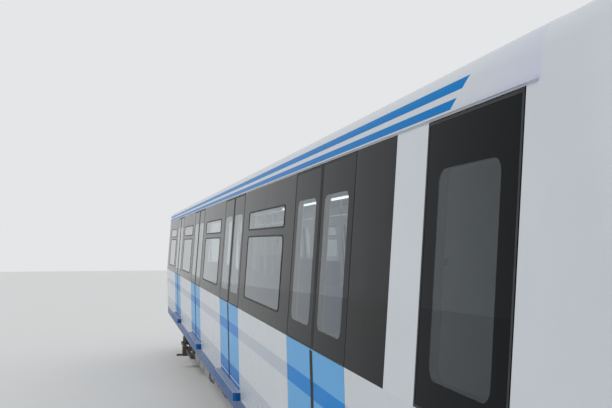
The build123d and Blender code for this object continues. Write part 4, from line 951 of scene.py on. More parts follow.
# %% Door edges
def door_edges():
    shape = bmesh.new()
    edge_width, edge_height, meeting_gap = 0.030, 0.003, 0.004
    rounding = edge_width / 5
    profile = [(0, -0.001), (0, edge_height), (edge_width - rounding, edge_height), (edge_width, -0.001)]
    spans = ((floor_top + 0.01, belt_z - 0.01), (belt_z + 0.01, cantrail_z - 0.012))
    for side in sides.values():
        for centre in door_centres:
            for low, high in spans:
                for way in (-1, 1):
                    foot, head = [on_wall(centre + way * 0.1, z, side) for z in (low, high)]
                    outline = []
                    for across, out in profile:
                        point = foot @ Vector((0, 0, out))
                        point.x = centre + way * (meeting_gap + across)
                        outline.append(point)
                    drawn(shape, outline, head.translation - foot.translation)
    add_piece("door_edge_rubbers", shape, "rubber_black")


door_edges()

# %% [markdown]
# ## Handles
# A cab door has a thin plate with a bar that a gloved hand can pull, and a round lock below it. They ride on the
# door's own body, so they swing with it. The hopper panes have a slim bar on the inside to pull them by.

# %% Door handles
def grip(shape, matrix, length, reach, radius):
    """A bar that stands off a surface on two bent ends, along the surface's local Y."""
    half = length / 2
    ends = [(-half, 0), (-half, reach), (-half / 2, reach), (half / 2, reach), (half, reach), (half, 0)]
    bent_rod(shape, [matrix @ Vector((0, along, out)) for along, out in ends], radius)


def cab_door_handles():
    handle_x, handle_z, lock_below = 7.70, floor_top + 0.74, 0.072
    lock = [(0, 0.011), (0.006, 0.011), (0.007, 0.008), (0.004, 0)]
    for name, side in sides.items():
        shape = bmesh.new()
        place = on_wall(handle_x, handle_z, side)
        plate(shape, 0.052, 0.17, 0.014, 0.004, place, crown=0.0015)
        grip(shape, place @ Matrix.Translation((0, 0, 0.002)), 0.12, 0.030, 0.006)
        turned(shape, lock, place @ Vector((0, -lock_below, 0.003)), place.col[2].to_3d(), 16)
        add_piece(f"cab_door_handle_{name}", shape, "rail_steel", f"cab_door_{name}")


cab_door_handles()

# %% Hopper bars
def hopper_bars():
    shape = bmesh.new()
    panes = tree_of("window_glass")
    bar_z, bar_length = floor_top + 1.735, 1.30
    for side in sides.values():
        for centre in window_centres:
            place, normal = touch((centre, 0, bar_z), (0, side, 0), panes)
            plate(shape, 0.014, bar_length, 0.006, 0.010, on_face(place, normal, (0, 0, 1)), crown=0.003)
    add_piece("hopper_bars", shape, "rail_steel")


hopper_bars()

# %% [markdown]
# ## Head lamps and the sign
# Behind each slanting lens the CAD leaves a shallow space before the metal back. Three bowls stand in it, each a
# profile spun round the line that faces out of the nose there. The inner two are white lamps and the outer one
# is the red tail lamp. The sign at the head of the windscreen is a black matrix of dots, and it stays blank.

# %% Bulbs and dot matrix
def bulb_finish(name, base, glow, strength):
    finish = Finish(name, Emission_Strength=strength, Coat_Weight=0.6)
    finish.paint(finish.mix(finish.cells(400.0), base, (1, 1, 1, 1)))
    finish.put(finish.shader.inputs["Emission Color"], glow)
    finish.dull(300.0, 0.1, 0.2)
    finish.bump(finish.cells(500.0), 0.0004)


def matrix_black():
    """A dot matrix that shows nothing: rows and columns of dull dots on black."""
    finish = Finish("matrix_black", Specular_IOR_Level=0.3)
    dots = finish.calc("MULTIPLY", finish.waves(31.4, "Y"), finish.waves(31.4, "Z"))
    finish.paint(finish.mix(finish.span(dots, 0.35, 0.6), colour(10, 10, 11), colour(52, 50, 44)))
    finish.rough(finish.span(dots, 0.3, 0.7, 0.5, 0.3))
    finish.bump(dots, 0.0006)


bulb_finish("white_bulb", (0.8, 0.82, 0.8, 1), (0.9, 0.95, 1.0, 1), 0.5)
bulb_finish("red_bulb", (0.6, 0.02, 0.02, 1), (1.0, 0.05, 0.03, 1), 0.25)
matrix_black()
print("bulbs and matrix done")

# %% Lamp bowls and bulbs
def lamp_bowls():
    bowls, white_bulbs, red_bulbs = bmesh.new(), bmesh.new(), bmesh.new()
    backs = tree_of("lamp_housings")
    lamp_low, lamp_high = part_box("lamp_lenses")
    inner_end, slope = 0.76, 0.06
    middle_z = (lamp_low.z + lamp_high.z - slope) / 2
    rim = [(0.018, 0.058), (0.019, 0.060), (0.018, 0.062), (0.001, 0.062)]
    hollow = [(0.001, 0.020), (0.004, 0.032), (0.010, 0.047), (0.018, 0.058)]
    bulb = [(0.001, 0.019), (0.007, 0.019), (0.012, 0.014), (0.015, 0.007), (0.016, 0.0)]
    for side in sides.values():
        for reach, bulbs in ((0.075, white_bulbs), (0.215, white_bulbs), (0.355, red_bulbs)):
            z = middle_z + slope * reach / (lamp_high.y - inner_end)
            place, normal = touch((ahead, side * (inner_end + reach), z), (-1, 0, 0), backs)
            turned(bowls, rim + hollow, place, normal, 28)
            turned(bulbs, bulb, place, normal, 20)
    add_piece("lamp_bowls", bowls, "lamp_metal")
    add_piece("head_lamp_bulbs", white_bulbs, "white_bulb")
    add_piece("tail_lamp_bulbs", red_bulbs, "red_bulb")


lamp_bowls()

# %% The blank sign
def sign_panel():
    shape = bmesh.new()
    behind_glass, below_head = 0.052, 0.10
    sign_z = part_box("windscreen")[1].z - below_head
    place, normal = touch((ahead, 0, sign_z), (-1, 0, 0), tree_of("windscreen"))
    panel = on_face(place - normal * behind_glass, normal, (0, 1, 0))
    plate(shape, 1.09, 0.185, 0.012, 0.010, panel, crown=0.002)
    add_piece("sign_panel", shape, "matrix_black")


sign_panel()

# %% [markdown]
# ## Nose fittings
# The wiper's spindle gets a nut, and the coupler its guide plate bolts, two air nozzles and the cover of its
# electric box. They ride on the coupler, which swings, so they are placed from its box and stay on its faces.
# The drawbar at the other end has collars, and both pockets are bolted to the underframe.

# %% Wiper nut
spindle_y, spindle_z = 0.16, belt_z + 0.03


def wiper_nut():
    shape = bmesh.new()
    place, normal = touch((ahead, spindle_y, spindle_z), (-1, 0, 0), tree_of("wiper"))
    bolt(shape, place, normal, 0.016)
    add_piece("wiper_nut", shape, "rail_steel")


wiper_nut()

# %% Coupler fittings
coupler_level = 0.678
guide_half_width, guide_half_height, nozzle_rise = 0.105, 0.122, 0.115


def front_coupler_fittings():
    shape, cover = bmesh.new(), bmesh.new()
    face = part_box("front_coupler")[1].x - 0.110
    out = (1, 0, 0)
    nozzle = [(0, 0.022), (0.012, 0.022), (0.014, 0.018), (0.030, 0.018), (0.033, 0.015), (0.033, 0.008)]
    bore = [(0.004, 0.008), (0.004, 0)]
    collar = [(0, 0.055), (0, 0.078), (0.006, 0.082), (0.034, 0.082), (0.040, 0.078), (0.040, 0.055)]
    for y in (-guide_half_width, guide_half_width):
        for z in (-guide_half_height, guide_half_height):
            bolt(shape, (face, y, coupler_level + z), out, 0.013)
    for z in (-nozzle_rise, nozzle_rise):
        turned(shape, nozzle + bore, (face, 0, coupler_level + z), out, 20)
    for x in (8.30, 8.52):
        turned(shape, collar, (x, 0, coupler_level), out, 32)
    lid = on_face((face - 0.030, 0, coupler_level - 0.205), out, (0, 1, 0))
    plate(cover, 0.13, 0.085, 0.010, 0.008, lid, crown=0.002)
    for y in (-0.05, 0.05):
        bolt(cover, lid @ Vector((y, 0.03, 0.008)), out, 0.005)
    add_piece("coupler_nozzles_and_bolts", shape, "coupler_steel", "front_coupler")
    add_piece("coupler_box_cover", cover, "case_grey", "front_coupler")


front_coupler_fittings()

# %% Drawbar collars and pocket bolts
def drawbar_fittings():
    shape = bmesh.new()
    collar = [(0, 0.055), (0, 0.074), (0.005, 0.078), (0.025, 0.078), (0.030, 0.074), (0.030, 0.055)]
    for x in (-8.52, -8.90, -9.02):
        turned(shape, collar, (x, 0, coupler_level), (1, 0, 0), 32)
    add_piece("drawbar_collars", shape, "coupler_steel", "rear_drawbar")


def pocket_bolts():
    shape = bmesh.new()
    pocket_half_width, pockets_x = 0.16, (-8.32, 7.97)
    for x in pockets_x:
        for side in sides.values():
            for dx in (-0.09, 0.09):
                for z in (0.62, 0.78, 0.94):
                    bolt(shape, (x + dx, side * pocket_half_width, z), (0, side, 0), 0.012)
    add_piece("coupler_pocket_bolts", shape, "coupler_steel")


drawbar_fittings()
pocket_bolts()

# %% [markdown]
# ## The rear end
# Beside the gangway there are grab rails and, low down, two steps for whoever couples the cars. The bridge plate
# gets its raised tread bars, set in a herringbone so that a sole grips both ways.

# %% Grab rails and step irons
def rear_rails():
    shape = bmesh.new()
    rails_y, rail_middle, steps_up = 1.02, floor_top + 0.78, (floor_top + 0.12, floor_top + 0.36)
    for side in sides.values():
        rail = on_face((rear_x, side * rails_y, rail_middle), (-1, 0, 0), (0, 1, 0))
        grip(shape, rail, 0.62, 0.055, 0.012)
        for z in steps_up:
            iron = on_face((rear_x, side * rails_y, z), (-1, 0, 0), (0, 0, 1))
            grip(shape, iron, 0.26, 0.075, 0.010)
    add_piece("rear_grab_rails", shape, "rail_steel")


rear_rails()

# %% Tread bars
def bridge_treads():
    shape = bmesh.new()
    low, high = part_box("gangway_bridge_plate")
    rows, columns, margin = 6, 24, 0.05
    for row in range(rows):
        for column in range(columns):
            x = low.x + (row + 0.5) * (high.x - low.x) / rows
            y = low.y + margin + (column + 0.5) * (high.y - low.y - 2 * margin) / columns
            turn = Matrix.Rotation(math.radians(45 if (row + column) % 2 else -45), 4, "Z")
            plate(shape, 0.038, 0.008, 0.003, 0.002, Matrix.Translation((x, y, high.z - 0.0005)) @ turn)
    add_piece("bridge_plate_treads", shape, "step_alloy")


bridge_treads()

# %% [markdown]
# ## On the roof
# Each air unit has two fans. Wire rings close the gaps between the bars that the CAD has over each well, and
# below them sit seven pitched blades. One blade is a thin plate, turned about its own length, and the rest are
# the same plate turned about the hub. The sloped ends carry service lids with bolts. Low ribs run along the roof
# between the units, and a small aerial stands over the cab.

# %% Aerial
def antenna():
    """A radio aerial over the cab: a flange with four bolts and a small moulded dome."""
    shape, flange = bmesh.new(), bmesh.new()
    over_cab_x = 7.2
    place, normal = touch((over_cab_x, 0, far), (0, 0, -1))
    disc = [(-0.002, 0), (-0.002, 0.105), (0.006, 0.105), (0.008, 0.102), (0.008, 0)]
    dome = [(0.008, 0.078), (0.016, 0.078), (0.060, 0.062), (0.086, 0.036), (0.094, 0.0)]
    turned(flange, disc, place, normal, 40)
    turned(shape, dome, place, normal, 40)
    bolt_circle(flange, place + normal * 0.008, normal, 0.090, 4, 0.006)
    add_piece("roof_antenna", shape, "rubber_black")
    add_piece("roof_antenna_flange", flange, "roof_grey")


antenna()

# %% Fan rings and blades
def middles_of(node):
    """The middle x of a node's two halves, one before and one behind the middle of the car."""
    along = [vert.co.x for vert in frame["nodes"][node].data.vertices]
    halves = [[x for x in along if x < 0], [x for x in along if x > 0]]
    return [(min(half) + max(half)) / 2 for half in halves]


unit_middles = middles_of("roof_air_units")


def roof_fans():
    rings, blades = bmesh.new(), bmesh.new()
    unit_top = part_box("roof_air_units")[1].z
    fan_from_middle, well_radius, hub_radius, blade_count = 0.64, 0.28, 0.07, 7
    wire, wire_depth, wire_height, wire_radii = 0.003, 0.008, 0.006, (0.115, 0.155, 0.195, 0.235, 0.268)
    blade_length = well_radius - hub_radius - 0.02
    pitch = Matrix.Rotation(math.radians(24), 4, "X")
    out = Matrix.Translation((hub_radius + blade_length / 2, 0, unit_top - 0.040))
    for middle in unit_middles:
        for way in (-1, 1):
            centre = Vector((middle + way * fan_from_middle, 0, 0))
            for radius in wire_radii:
                low = unit_top - wire_depth
                ring(rings, low, low + wire_height, radius - wire, radius + wire, centre, (0, 0, 1))
            for i in range(blade_count):
                round_hub = Matrix.Rotation(math.tau * i / blade_count, 4, "Z")
                place = Matrix.Translation(centre) @ round_hub @ out @ pitch
                plate(blades, blade_length, 0.085, 0.018, 0.003, place)
    add_piece("fan_guard_rings", rings, "rail_steel")
    add_piece("fan_blades", blades, "case_grey")


roof_fans()

# %% Service lids
def unit_lids():
    shape = bmesh.new()
    units = tree_of("roof_air_units")
    slope_from_middle, lid_y = 1.20, 0.25
    for middle in unit_middles:
        for way in (-1, 1):
            for y in (-lid_y, lid_y):
                place, normal = touch((middle + way * slope_from_middle, y, far), (0, 0, -1), units)
                lid = on_face(place, normal, (0, 1, 0))
                plate(shape, 0.42, 0.12, 0.02, 0.004, lid, crown=0.0015)
                for across in (-0.18, 0, 0.18):
                    bolt(shape, lid @ Vector((across, 0.038, 0.004)), normal, 0.006)
    add_piece("air_unit_lids", shape, "roof_grey")


unit_lids()

# %% Roof ribs
def roof_ribs():
    shape = bmesh.new()
    clear, ribs_y = 1.36, (-0.9, -0.6, -0.3, 0.0, 0.3, 0.6, 0.9)
    profile = [(-0.022, -0.001), (-0.014, 0.006), (0.014, 0.006), (0.022, -0.001)]
    stops = [rear_x + 0.15, joint_x - 0.15]
    for middle in unit_middles:
        stops[-1:-1] = [middle - clear, middle + clear]
    for start, end in zip(stops[::2], stops[1::2]):
        for y in ribs_y:
            place, normal = touch(((start + end) / 2, y, far), (0, 0, -1))
            rib = on_face(place, normal, (0, 1, 0))
            outline = [rib @ Vector((across, 0, out)) for across, out in profile]
            for point in outline:
                point.x = start
            drawn(shape, outline, (end - start, 0, 0))
    add_piece("roof_ribs", shape, "roof_grey")


roof_ribs()

# %% [markdown]
# ## Under the floor
# The equipment cases open at their lids: each lid has two rows of screws and two lever latches. Pipes run from
# bogie to bogie in the feet of the bearers, and straps hold the air reservoirs to their saddles. Most of it gets
# the dusty finishes from above.

# %% Latches and screws
cases = ("traction_inverter_case", "battery_case", "auxiliary_converter_case")
lids_per_side = 3
case_flange = 0.04


def case_fittings():
    latches, screws = bmesh.new(), bmesh.new()
    lid_margin, screws_high = 0.06, 4
    for node in cases:
        low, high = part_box(node)
        lid_pitch = (high.x - low.x) / lids_per_side
        half = (lid_pitch - lid_margin) / 2
        lid_low, lid_high = low.z + lid_margin, high.z - case_flange - lid_margin
        for side in sides.values():
            out = (0, side, 0)
            for i in range(lids_per_side):
                middle = low.x + (i + 0.5) * lid_pitch
                for way in (-1, 1):
                    place = (middle + way * half * 0.6, side * high.y, lid_high - 0.045)
                    face = on_face(place, out, (1, 0, 0))
                    plate(latches, 0.040, 0.065, 0.008, 0.007, face, crown=0.002)
                    grip(latches, face @ Matrix.Translation((0, 0, 0.006)), 0.05, 0.014, 0.004)
                    for step in range(screws_high):
                        z = lid_low + 0.02 + step * (lid_high - lid_low - 0.04) / (screws_high - 1)
                        bolt(screws, (middle + way * (half - 0.02), side * high.y, z), out, 0.007)
    add_piece("case_latches", latches, "coupler_steel")
    add_piece("case_lid_screws", screws, "coupler_steel")


case_fittings()

# %% Resistor frames
def resistor_frames():
    shape = bmesh.new()
    low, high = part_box("brake_resistor_case")
    wide, tall = high.x - low.x - 0.05, high.z - case_flange - low.z - 0.05
    for side in sides.values():
        place = ((low.x + high.x) / 2, side * high.y, (low.z + high.z - case_flange) / 2)
        face = on_face(place, (0, side, 0), (1, 0, 0))
        plate(shape, wide, tall, 0.012, 0.006, face, rim=0.028, crown=0.0015)
        for across in (-0.5, -0.25, 0, 0.25, 0.5):
            for up in (-1, 1):
                screw = face @ Vector((across * (wide - 0.03), up * (tall / 2 - 0.014), 0.006))
                bolt(shape, screw, (0, side, 0), 0.007)
    add_piece("resistor_frames", shape, "case_grey")


resistor_frames()

# %% Brake pipes
def brake_pipes():
    pipes, clips = bmesh.new(), bmesh.new()
    low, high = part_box("cross_bearers")
    bearer_spaces, radius, pipes_y, clips_y = 14, 0.012, (-0.50, -0.45, 0.45, 0.50), 0.475
    z = low.z + 0.02 - radius
    pipe = [(0, 0), (0, radius), (high.x - low.x, radius), (high.x - low.x, 0)]
    for y in pipes_y:
        turned(pipes, pipe, (low.x, y, z), (1, 0, 0), 12)
    for side in sides.values():
        for i in range(bearer_spaces + 1):
            x = low.x + 0.1 + i * (high.x - low.x - 0.2) / bearer_spaces
            clip = Matrix.Translation((x, side * clips_y, z - radius - 0.004))
            plate(clips, 0.03, 0.11, 0.006, 0.004, clip)
    add_piece("brake_pipes", pipes, "rail_steel")
    add_piece("brake_pipe_clips", clips, "underframe_grey")


brake_pipes()

# %% Reservoir straps and filters
def reservoir_fittings():
    shape = bmesh.new()
    radius, tank_y, straps_x, cock_x = 0.165, 0.76, (0.14, 0.40, 0.72), 0.27
    intake_place = (0.40, 0.32, 0.72)
    axis_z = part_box("air_supply")[1].z - case_flange - radius
    cock = [(0, 0.016), (0.012, 0.016), (0.014, 0.009), (0.030, 0.009), (0.030, 0)]
    intake = [(0, 0.075), (0.02, 0.09), (0.10, 0.09), (0.115, 0.08), (0.125, 0.05), (0.125, 0)]
    for side in sides.values():
        axis_y = side * tank_y
        for x in straps_x:
            ring(shape, -0.025, 0.025, radius - 0.004, radius + 0.004, (x, axis_y, axis_z), (1, 0, 0))
        turned(shape, cock, (cock_x, axis_y, axis_z - radius + 0.003), (0, 0, -1), 16)
    for side in sides.values():
        x, y, z = intake_place
        turned(shape, intake, (x, side * y, z), (0, side, 0), 32)
    add_piece("reservoir_straps_and_filters", shape, "case_grey")


reservoir_fittings()

# %% [markdown]
# ## Bogies
# A bogie is where the bolts are. One function fits out a bogie from its two axle places, so both come out alike,
# and each fitting rides on the body that carries it: covers, bands and bolts on the bogie, and the ring of
# wheel bolts on its own wheelset, where it shows that the wheel turns.

# %% Wheel bolts
wheel_face_y, wheel_bolt_radius = 0.7635, 0.285


def wheel_bolts():
    for name, axle in axles.items():
        shape = bmesh.new()
        for side in sides.values():
            centre = (axle.x, side * wheel_face_y, axle.z)
            bolt_circle(shape, centre, (0, side, 0), wheel_bolt_radius, 12, 0.013)
        add_piece(f"{name}_bolts", shape, name, name)


wheel_bolts()

# %% Covers, bands and brakes
box_face_y = 1.085
spring_y, spring_ends = 0.955, (0.714, 0.974)
brake_y, brake_from_axle = 0.7675, 0.676
hanger_y, hangers_z = 0.72, (0.54, 0.60)


def axle_covers(shape, bogie_axles):
    """A bearing cap on the outer face of each axle box."""
    cap = [(0, 0.108), (0.008, 0.108), (0.011, 0.104), (0.011, 0.072), (0.020, 0.064), (0.024, 0.040), (0.024, 0.0)]
    for axle in bogie_axles:
        for side in sides.values():
            centre = Vector((axle.x, side * box_face_y, axle.z))
            turned(shape, cap, centre, (0, side, 0), 36)
            bolt_circle(shape, centre + Vector((0, side * 0.010, 0)), (0, side, 0), 0.090, 8, 0.009)


def spring_bands(shape, middle):
    """The clamp rings at the foot and head of each air spring."""
    for side in sides.values():
        for z in spring_ends:
            ring(shape, z, z + 0.018, 0.182, 0.196, (middle, side * spring_y, 0), (0, 0, 1))


def brake_fittings(shape, bogie_axles, middle):
    """End caps, adjusters and hanger bolts on the tread brakes."""
    cap = [(0, 0.070), (0.010, 0.070), (0.014, 0.062), (0.014, 0.026), (0.034, 0.026), (0.038, 0.020), (0.038, 0)]
    for axle in bogie_axles:
        way = 1 if axle.x > middle else -1
        back = axle.x - way * brake_from_axle
        for side in sides.values():
            centre = Vector((back, side * brake_y, axle.z))
            turned(shape, cap, centre, (-way, 0, 0), 28)
            bolt_circle(shape, centre, (-way, 0, 0), 0.052, 6, 0.007)
            for z in hangers_z:
                bolt(shape, (back + way * 0.045, side * hanger_y, z), (0, -side, 0), 0.012)


print("covers, bands and brakes are ready to place")

# %% Drives and frame
motor_from_middle, motor_rise, motor_end_y = 0.59, 0.03, 0.375
gear_face_y, plug_y, plug_drop = 0.56, 0.48, 0.236
guard_bolts_x, guard_bolts_z, guard_face_y = (1.44, 1.50), (0.66, 0.72), 0.936
eye_from_middle, eye_y, eye_z = 0.95, 0.985, 0.800


def drive_fittings(shape, bogie_axles, middle):
    """Bolts round the motor's free end and the gear case, and an oil plug."""
    for axle in bogie_axles:
        way = 1 if axle.x > middle else -1
        motor_end = (middle + way * motor_from_middle, -way * motor_end_y, axle.z + motor_rise)
        bolt_circle(shape, motor_end, (0, -way, 0), 0.112, 8, 0.010)
        bolt_circle(shape, (axle.x, way * gear_face_y, axle.z), (0, way, 0), 0.190, 10, 0.010)
        bolt(shape, (axle.x, way * plug_y, axle.z - plug_drop), (0, 0, -1), 0.014)


def frame_fittings(shape, middle, outer):
    """Bolts that hold the wheel guards, and the lifting eyes."""
    for side in sides.values():
        for z in guard_bolts_z:
            for dx in guard_bolts_x:
                bolt(shape, (middle + outer * dx, side * guard_face_y, z), (0, side, 0), 0.011)
        for way in (-1, 1):
            place = (middle + way * eye_from_middle, side * eye_y, eye_z)
            ring(shape, -0.012, 0.012, 0.020, 0.036, place, (0, 1, 0), 20)


print("drives and frame are ready to place")

# %% Fit out both bogies
def fit_out(bogie, middle, outer):
    fittings, bright = bmesh.new(), bmesh.new()
    bogie_axles = [axle for name, axle in axles.items() if name.startswith(bogie)]
    axle_covers(fittings, bogie_axles)
    brake_fittings(fittings, bogie_axles, middle)
    drive_fittings(fittings, bogie_axles, middle)
    frame_fittings(fittings, middle, outer)
    spring_bands(bright, middle)
    add_piece(f"{bogie}_bogie_fittings", fittings, "casting_grey", f"{bogie}_bogie")
    add_piece(f"{bogie}_air_spring_bands", bright, "coupler_steel", f"{bogie}_bogie")


for bogie, outer in (("front", 1), ("rear", -1)):
    fit_out(bogie, sum(axle.x for name, axle in axles.items() if name.startswith(bogie)) / 2, outer)

# %% [markdown]
# ## Inside the saloon
# Through the glass one sees poles, benches and the lights. Every pole ends in a turned socket at the floor and at
# the ceiling, and slim louvres run beside the air duct.

# %% Pole sockets
def pole_sockets():
    shape = bmesh.new()
    pole_from_window, pole_y = 0.994, 0.78
    ceiling_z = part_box("grab_poles")[1].z
    foot = [(0, 0.017), (0, 0.040), (0.004, 0.042), (0.010, 0.040)]
    socket = foot + [(0.018, 0.028), (0.040, 0.022), (0.044, 0.017)]
    for side in sides.values():
        for centre in window_centres:
            for way in (-1, 1):
                x = centre + way * pole_from_window
                turned(shape, socket, (x, side * pole_y, floor_top), (0, 0, 1), 20)
                turned(shape, socket, (x, side * pole_y, ceiling_z), (0, 0, -1), 20)
    add_piece("pole_sockets", shape, "rail_steel")


pole_sockets()

# %% Ceiling louvres
def ceiling_louvres():
    shape = bmesh.new()
    low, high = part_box("ceiling")
    margin, slats, slat_pitch, first_slat_y = 0.1, 5, 0.028, 0.380
    # (out from the slat's foot, down from the ceiling)
    slat = [(0.0, 0.022), (0.004, 0.022), (0.016, 0.034), (0.012, 0.034)]
    for side in sides.values():
        for i in range(slats):
            y = side * (first_slat_y + i * slat_pitch)
            outline = [(low.x + margin, y + side * out, high.z - down) for out, down in slat]
            drawn(shape, outline, (high.x - low.x - 2 * margin, 0, 0))
    add_piece("ceiling_louvres", shape, "interior_white")


ceiling_louvres()

# %% [markdown]
# ## The driver's seat
# The cushions are foam in woven cloth. A real one is cut a little large and swells between its seams, so it is
# blown up like one: a rounded block is remeshed evenly, cloth with a little pressure fills it, and a cap stops it
# growing more than the CAD's space allows. Then one subdivision smooths it. The pan, arms and pedestal are
# rigid: a plate, bent rods and a turned column.

# %% Swelling
seat_low, seat_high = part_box("driver_seat")
swell_cap = 0.012
voxel = 0.006
frames = 20
seam_reach, seam_depth = 0.012, 0.007


def swollen(piece):
    """Fills a closed form with pressure for twenty frames and keeps each point near where it began."""
    remesh = piece.modifiers.new("remesh", "REMESH")
    remesh.mode = "VOXEL"
    remesh.voxel_size = voxel
    scene.view_layers[0].update()
    even = bpy.data.meshes.new_from_object(piece.evaluated_get(bpy.context.evaluated_depsgraph_get()))
    piece.modifiers.clear()
    piece.data = even
    start = [v.co.copy() for v in even.vertices]
    cloth = piece.modifiers.new("cloth", "CLOTH")
    cloth.settings.use_pressure = True
    cloth.settings.uniform_pressure_force = 4.0
    cloth.settings.effector_weights.gravity = 0.0
    cloth.settings.quality = 5
    for number in range(1, frames + 1):
        scene.frame_set(number)
    blown = bpy.data.meshes.new_from_object(piece.evaluated_get(bpy.context.evaluated_depsgraph_get()))
    piece.modifiers.clear()
    scene.frame_set(1)
    for vert, origin in zip(blown.vertices, start):
        move = vert.co - origin
        if move.length > swell_cap:
            vert.co = origin + move * (swell_cap / move.length)
    piece.data = blown


print("swell at most", swell_cap, "m in", frames, "frames")

# %% One cushion
def cushion(name, width, depth, thickness, matrix, seams):
    """A padded block with rounded edges; seams are the places across it where the cloth is sewn down."""
    inset = 0.010
    shape = bmesh.new()
    lifted = Matrix.Translation((0, 0, inset))
    plate(shape, width - 2 * inset, depth - 2 * inset, 0.05, thickness - 2 * inset, lifted, crown=0.018)
    foot = [e for e in shape.edges if all(abs(v.co.z - inset) < 1e-5 for v in e.verts)]
    bmesh.ops.bevel(shape, geom=foot, offset=0.012, affect="EDGES", segments=2, profile=0.5, material=-1)
    mesh = bpy.data.meshes.new(name)
    bmesh.ops.recalc_face_normals(shape, faces=shape.faces)
    shape.to_mesh(mesh)
    shape.free()
    piece = bpy.data.objects.new(name, mesh)
    scene.collection.objects.link(piece)
    swollen(piece)
    for vert in piece.data.vertices:
        for seam in seams:
            near = abs(vert.co.y - seam)
            if near < seam_reach and vert.co.z > thickness / 2:
                vert.co.z -= seam_depth * (1 - near / seam_reach) ** 0.5
    piece.data.transform(matrix)
    smooth = piece.modifiers.new("smooth", "SUBSURF")
    smooth.levels = smooth.render_levels = 1
    piece.data.shade_smooth()
    piece.data.materials.clear()
    piece.data.materials.append(finishes["seat_cloth"])
    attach(piece, "body")
    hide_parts("driver_seat")
    print(name, "has", len(piece.data.polygons), "faces before smoothing")


print("cushions are ready to place")

# %% Both cushions
seat_top = floor_top + 0.47
seat_rear, seat_front = seat_low.x + 0.06, seat_high.x
quarter = math.pi / 2
crosswise = Matrix.Rotation(quarter, 4, "Z")
pan_place = Matrix.Translation(((seat_rear + seat_front) / 2 + 0.02, 0, seat_top - 0.062))
cushion("driver_seat_cushion", 0.46, 0.42, 0.080, pan_place @ crosswise, (-0.10, 0.10))
back_lean = math.atan2(0.06, 0.61)
back_place = Matrix.Translation((seat_rear + 0.012, 0, seat_top + 0.33)) @ Matrix.Rotation(-back_lean, 4, "Y")
upright = Matrix.Rotation(quarter, 4, "Y") @ crosswise
cushion("driver_seat_back", 0.44, 0.54, 0.075, back_place @ upright, (-0.15, 0.15))

# %% Seat frame
def seat_frame():
    shape = bmesh.new()
    x = (seat_rear + seat_front) / 2
    foot = [(0, 0), (0, 0.20), (0.020, 0.20), (0.030, 0.19), (0.036, 0.09), (0.060, 0.062)]
    column = [(0.20, 0.055), (0.21, 0.05), (0.36, 0.048), (0.39, 0.14), (0.40, 0.15), (0.40, 0)]
    turned(shape, foot + column, (x, 0, floor_top), (0, 0, 1), 40)
    plate(shape, 0.40, 0.42, 0.04, 0.012, Matrix.Translation((x + 0.01, 0, seat_top - 0.072)), crown=0.003)
    # (forward of the seat's rear, out from its middle, above its top)
    arm = [(0.05, 0.19, -0.066), (0.0, 0.232, -0.062), (0.0, 0.232, 0.24), (0.10, 0.232, 0.25), (0.24, 0.232, 0.25)]
    back_bar = [(0.10, 0.12, -0.066), (0.02, 0.12, -0.066), (0.022, 0.12, 0.10), (0.002, 0.12, 0.30)]
    for side in (-1, 1):
        for points, radius in ((arm, 0.008), (back_bar, 0.010)):
            bent_rod(shape, [(seat_rear + dx, side * y, seat_top + dz) for dx, y, dz in points], radius)
        pad = Matrix.Translation((seat_rear + 0.17, side * 0.225, seat_top + 0.255))
        plate(shape, 0.24, 0.03, 0.014, 0.016, pad, crown=0.005)
    piece = add_piece("driver_seat_frame", shape, "desk_grey")
    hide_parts("driver_seat")


seat_frame()

# %% [markdown]
# ## The desk
# Two dark screens stand on the console's slope, with two plain round gauges between them. Below are a power and
# brake lever in its gate and two rows of push buttons. Nothing on the desk has words.

# %% Screen and button finishes
def dark_screen():
    finish = Finish("dark_screen", Coat_Weight=0.5, Coat_Roughness=0.05)
    finish.paint(finish.mix(finish.patches(6.0, 0.4, 0.7), colour(10, 12, 15), colour(16, 19, 24)))
    finish.dull(12.0, 0.08, 0.16)
    finish.grain(900.0, 0.00002, 1.0)


def button_caps():
    """Push buttons in a few plain colours, told apart by their place along Y."""
    finish = Finish("button_caps", Coat_Weight=0.3)
    shade = finish.noise(7.3, 0.0, finish.moved(scale=(0.2, 1, 0.2)))
    pale = finish.mix(finish.span(shade, 0.49, 0.51), colour(190, 34, 30), colour(224, 178, 40))
    finish.paint(finish.mix(finish.span(shade, 0.56, 0.58), pale, colour(60, 140, 80)))
    finish.dull(200.0, 0.25, 0.35)
    finish.grain(800.0, 0.00005, 1.0)


dark_screen()
button_caps()
print("all finishes:", len(finishes))

# %% Screens, lever, buttons and gauges
driver_x = 8.0
screen_y, screen_z, gauge_y, gauge_z = 0.30, 2.003, 0.05, 2.01
button_rows_x, first_button_y, button_pitch, buttons_per_row = (8.25, 8.30), -0.10, 0.055, 8
lever_x, lever_y = 8.20, -0.36


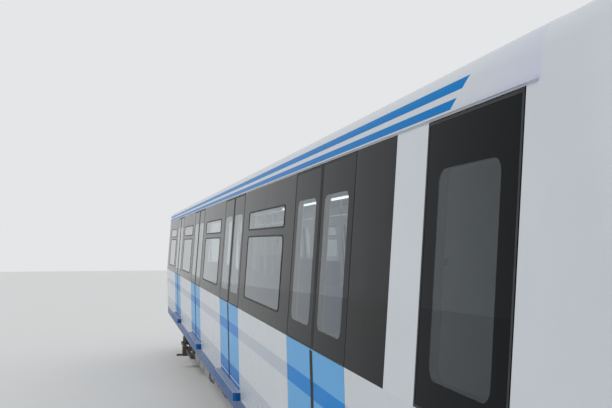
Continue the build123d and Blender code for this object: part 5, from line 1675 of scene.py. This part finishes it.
def desk_instruments():
    trims, screens, buttons, steel = bmesh.new(), bmesh.new(), bmesh.new(), bmesh.new()
    desk = tree_of("cab_desk")
    for y in (-screen_y, screen_y):
        place, normal = touch((driver_x, y, screen_z), (1, 0, 0), desk)
        face = on_face(place, normal, (0, 1, 0))
        plate(trims, 0.34, 0.175, 0.012, 0.008, face, rim=0.014, crown=0.002)
        plate(screens, 0.315, 0.150, 0.006, 0.004, face)
    gauge = [(0, 0.040), (0.010, 0.040), (0.012, 0.036), (0.006, 0.034), (0.006, 0.0)]
    for y in (-gauge_y, gauge_y):
        place, normal = touch((driver_x, y, gauge_z), (1, 0, 0), desk)
        turned(steel, gauge, place, normal, 28)
    collar = [(0, 0.015), (0.004, 0.015), (0.005, 0.011), (0.002, 0.011)]
    cap = [(0.001, 0.010), (0.009, 0.010), (0.011, 0.008), (0.011, 0)]
    for x in button_rows_x:
        for i in range(buttons_per_row):
            place, normal = touch((x, first_button_y + i * button_pitch, far), (0, 0, -1), desk)
            turned(steel, collar, place, normal, 16)
            turned(buttons, cap, place, normal, 16)
    place, normal = touch((lever_x, lever_y, far), (0, 0, -1), desk)
    plate(trims, 0.05, 0.20, 0.010, 0.005, on_face(place, normal, (0, 1, 0)), crown=0.0015)
    bent_rod(steel, [place, place + Vector((-0.005, 0, 0.05)), place + Vector((-0.02, 0, 0.10))], 0.008)
    knob = [(0, 0.0), (0.0, 0.012), (0.008, 0.020), (0.030, 0.024), (0.046, 0.020), (0.054, 0.010), (0.055, 0)]
    turned(trims, knob, place + Vector((-0.019, 0, 0.095)), (-0.2, 0, 1), 24)
    add_piece("desk_frames", trims, "rubber_black")
    add_piece("desk_screens", screens, "dark_screen")
    add_piece("desk_buttons", buttons, "button_caps")
    add_piece("desk_bezels", steel, "rail_steel")


desk_instruments()

# %% Handles of the bulkhead door
def bulkhead_handles():
    shape = bmesh.new()
    rear_face_x, front_face_x = 6.943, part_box("bulkhead_door")[1].x
    handle_y, handle_z = -0.265, floor_top + 1.0
    for x, out in ((rear_face_x, -1), (front_face_x, 1)):
        face = on_face((x, handle_y, handle_z), (out, 0, 0), (0, 1, 0))
        plate(shape, 0.04, 0.16, 0.010, 0.004, face, crown=0.001)
        lever = [(0, 0.003), (0, 0.04), (-out * 0.03, 0.045), (-out * 0.10, 0.045)]
        bent_rod(shape, [face @ Vector((across, 0.02, up)) for across, up in lever], 0.008)
    add_piece("bulkhead_door_handles", shape, "rail_steel", "bulkhead_door")


bulkhead_handles()
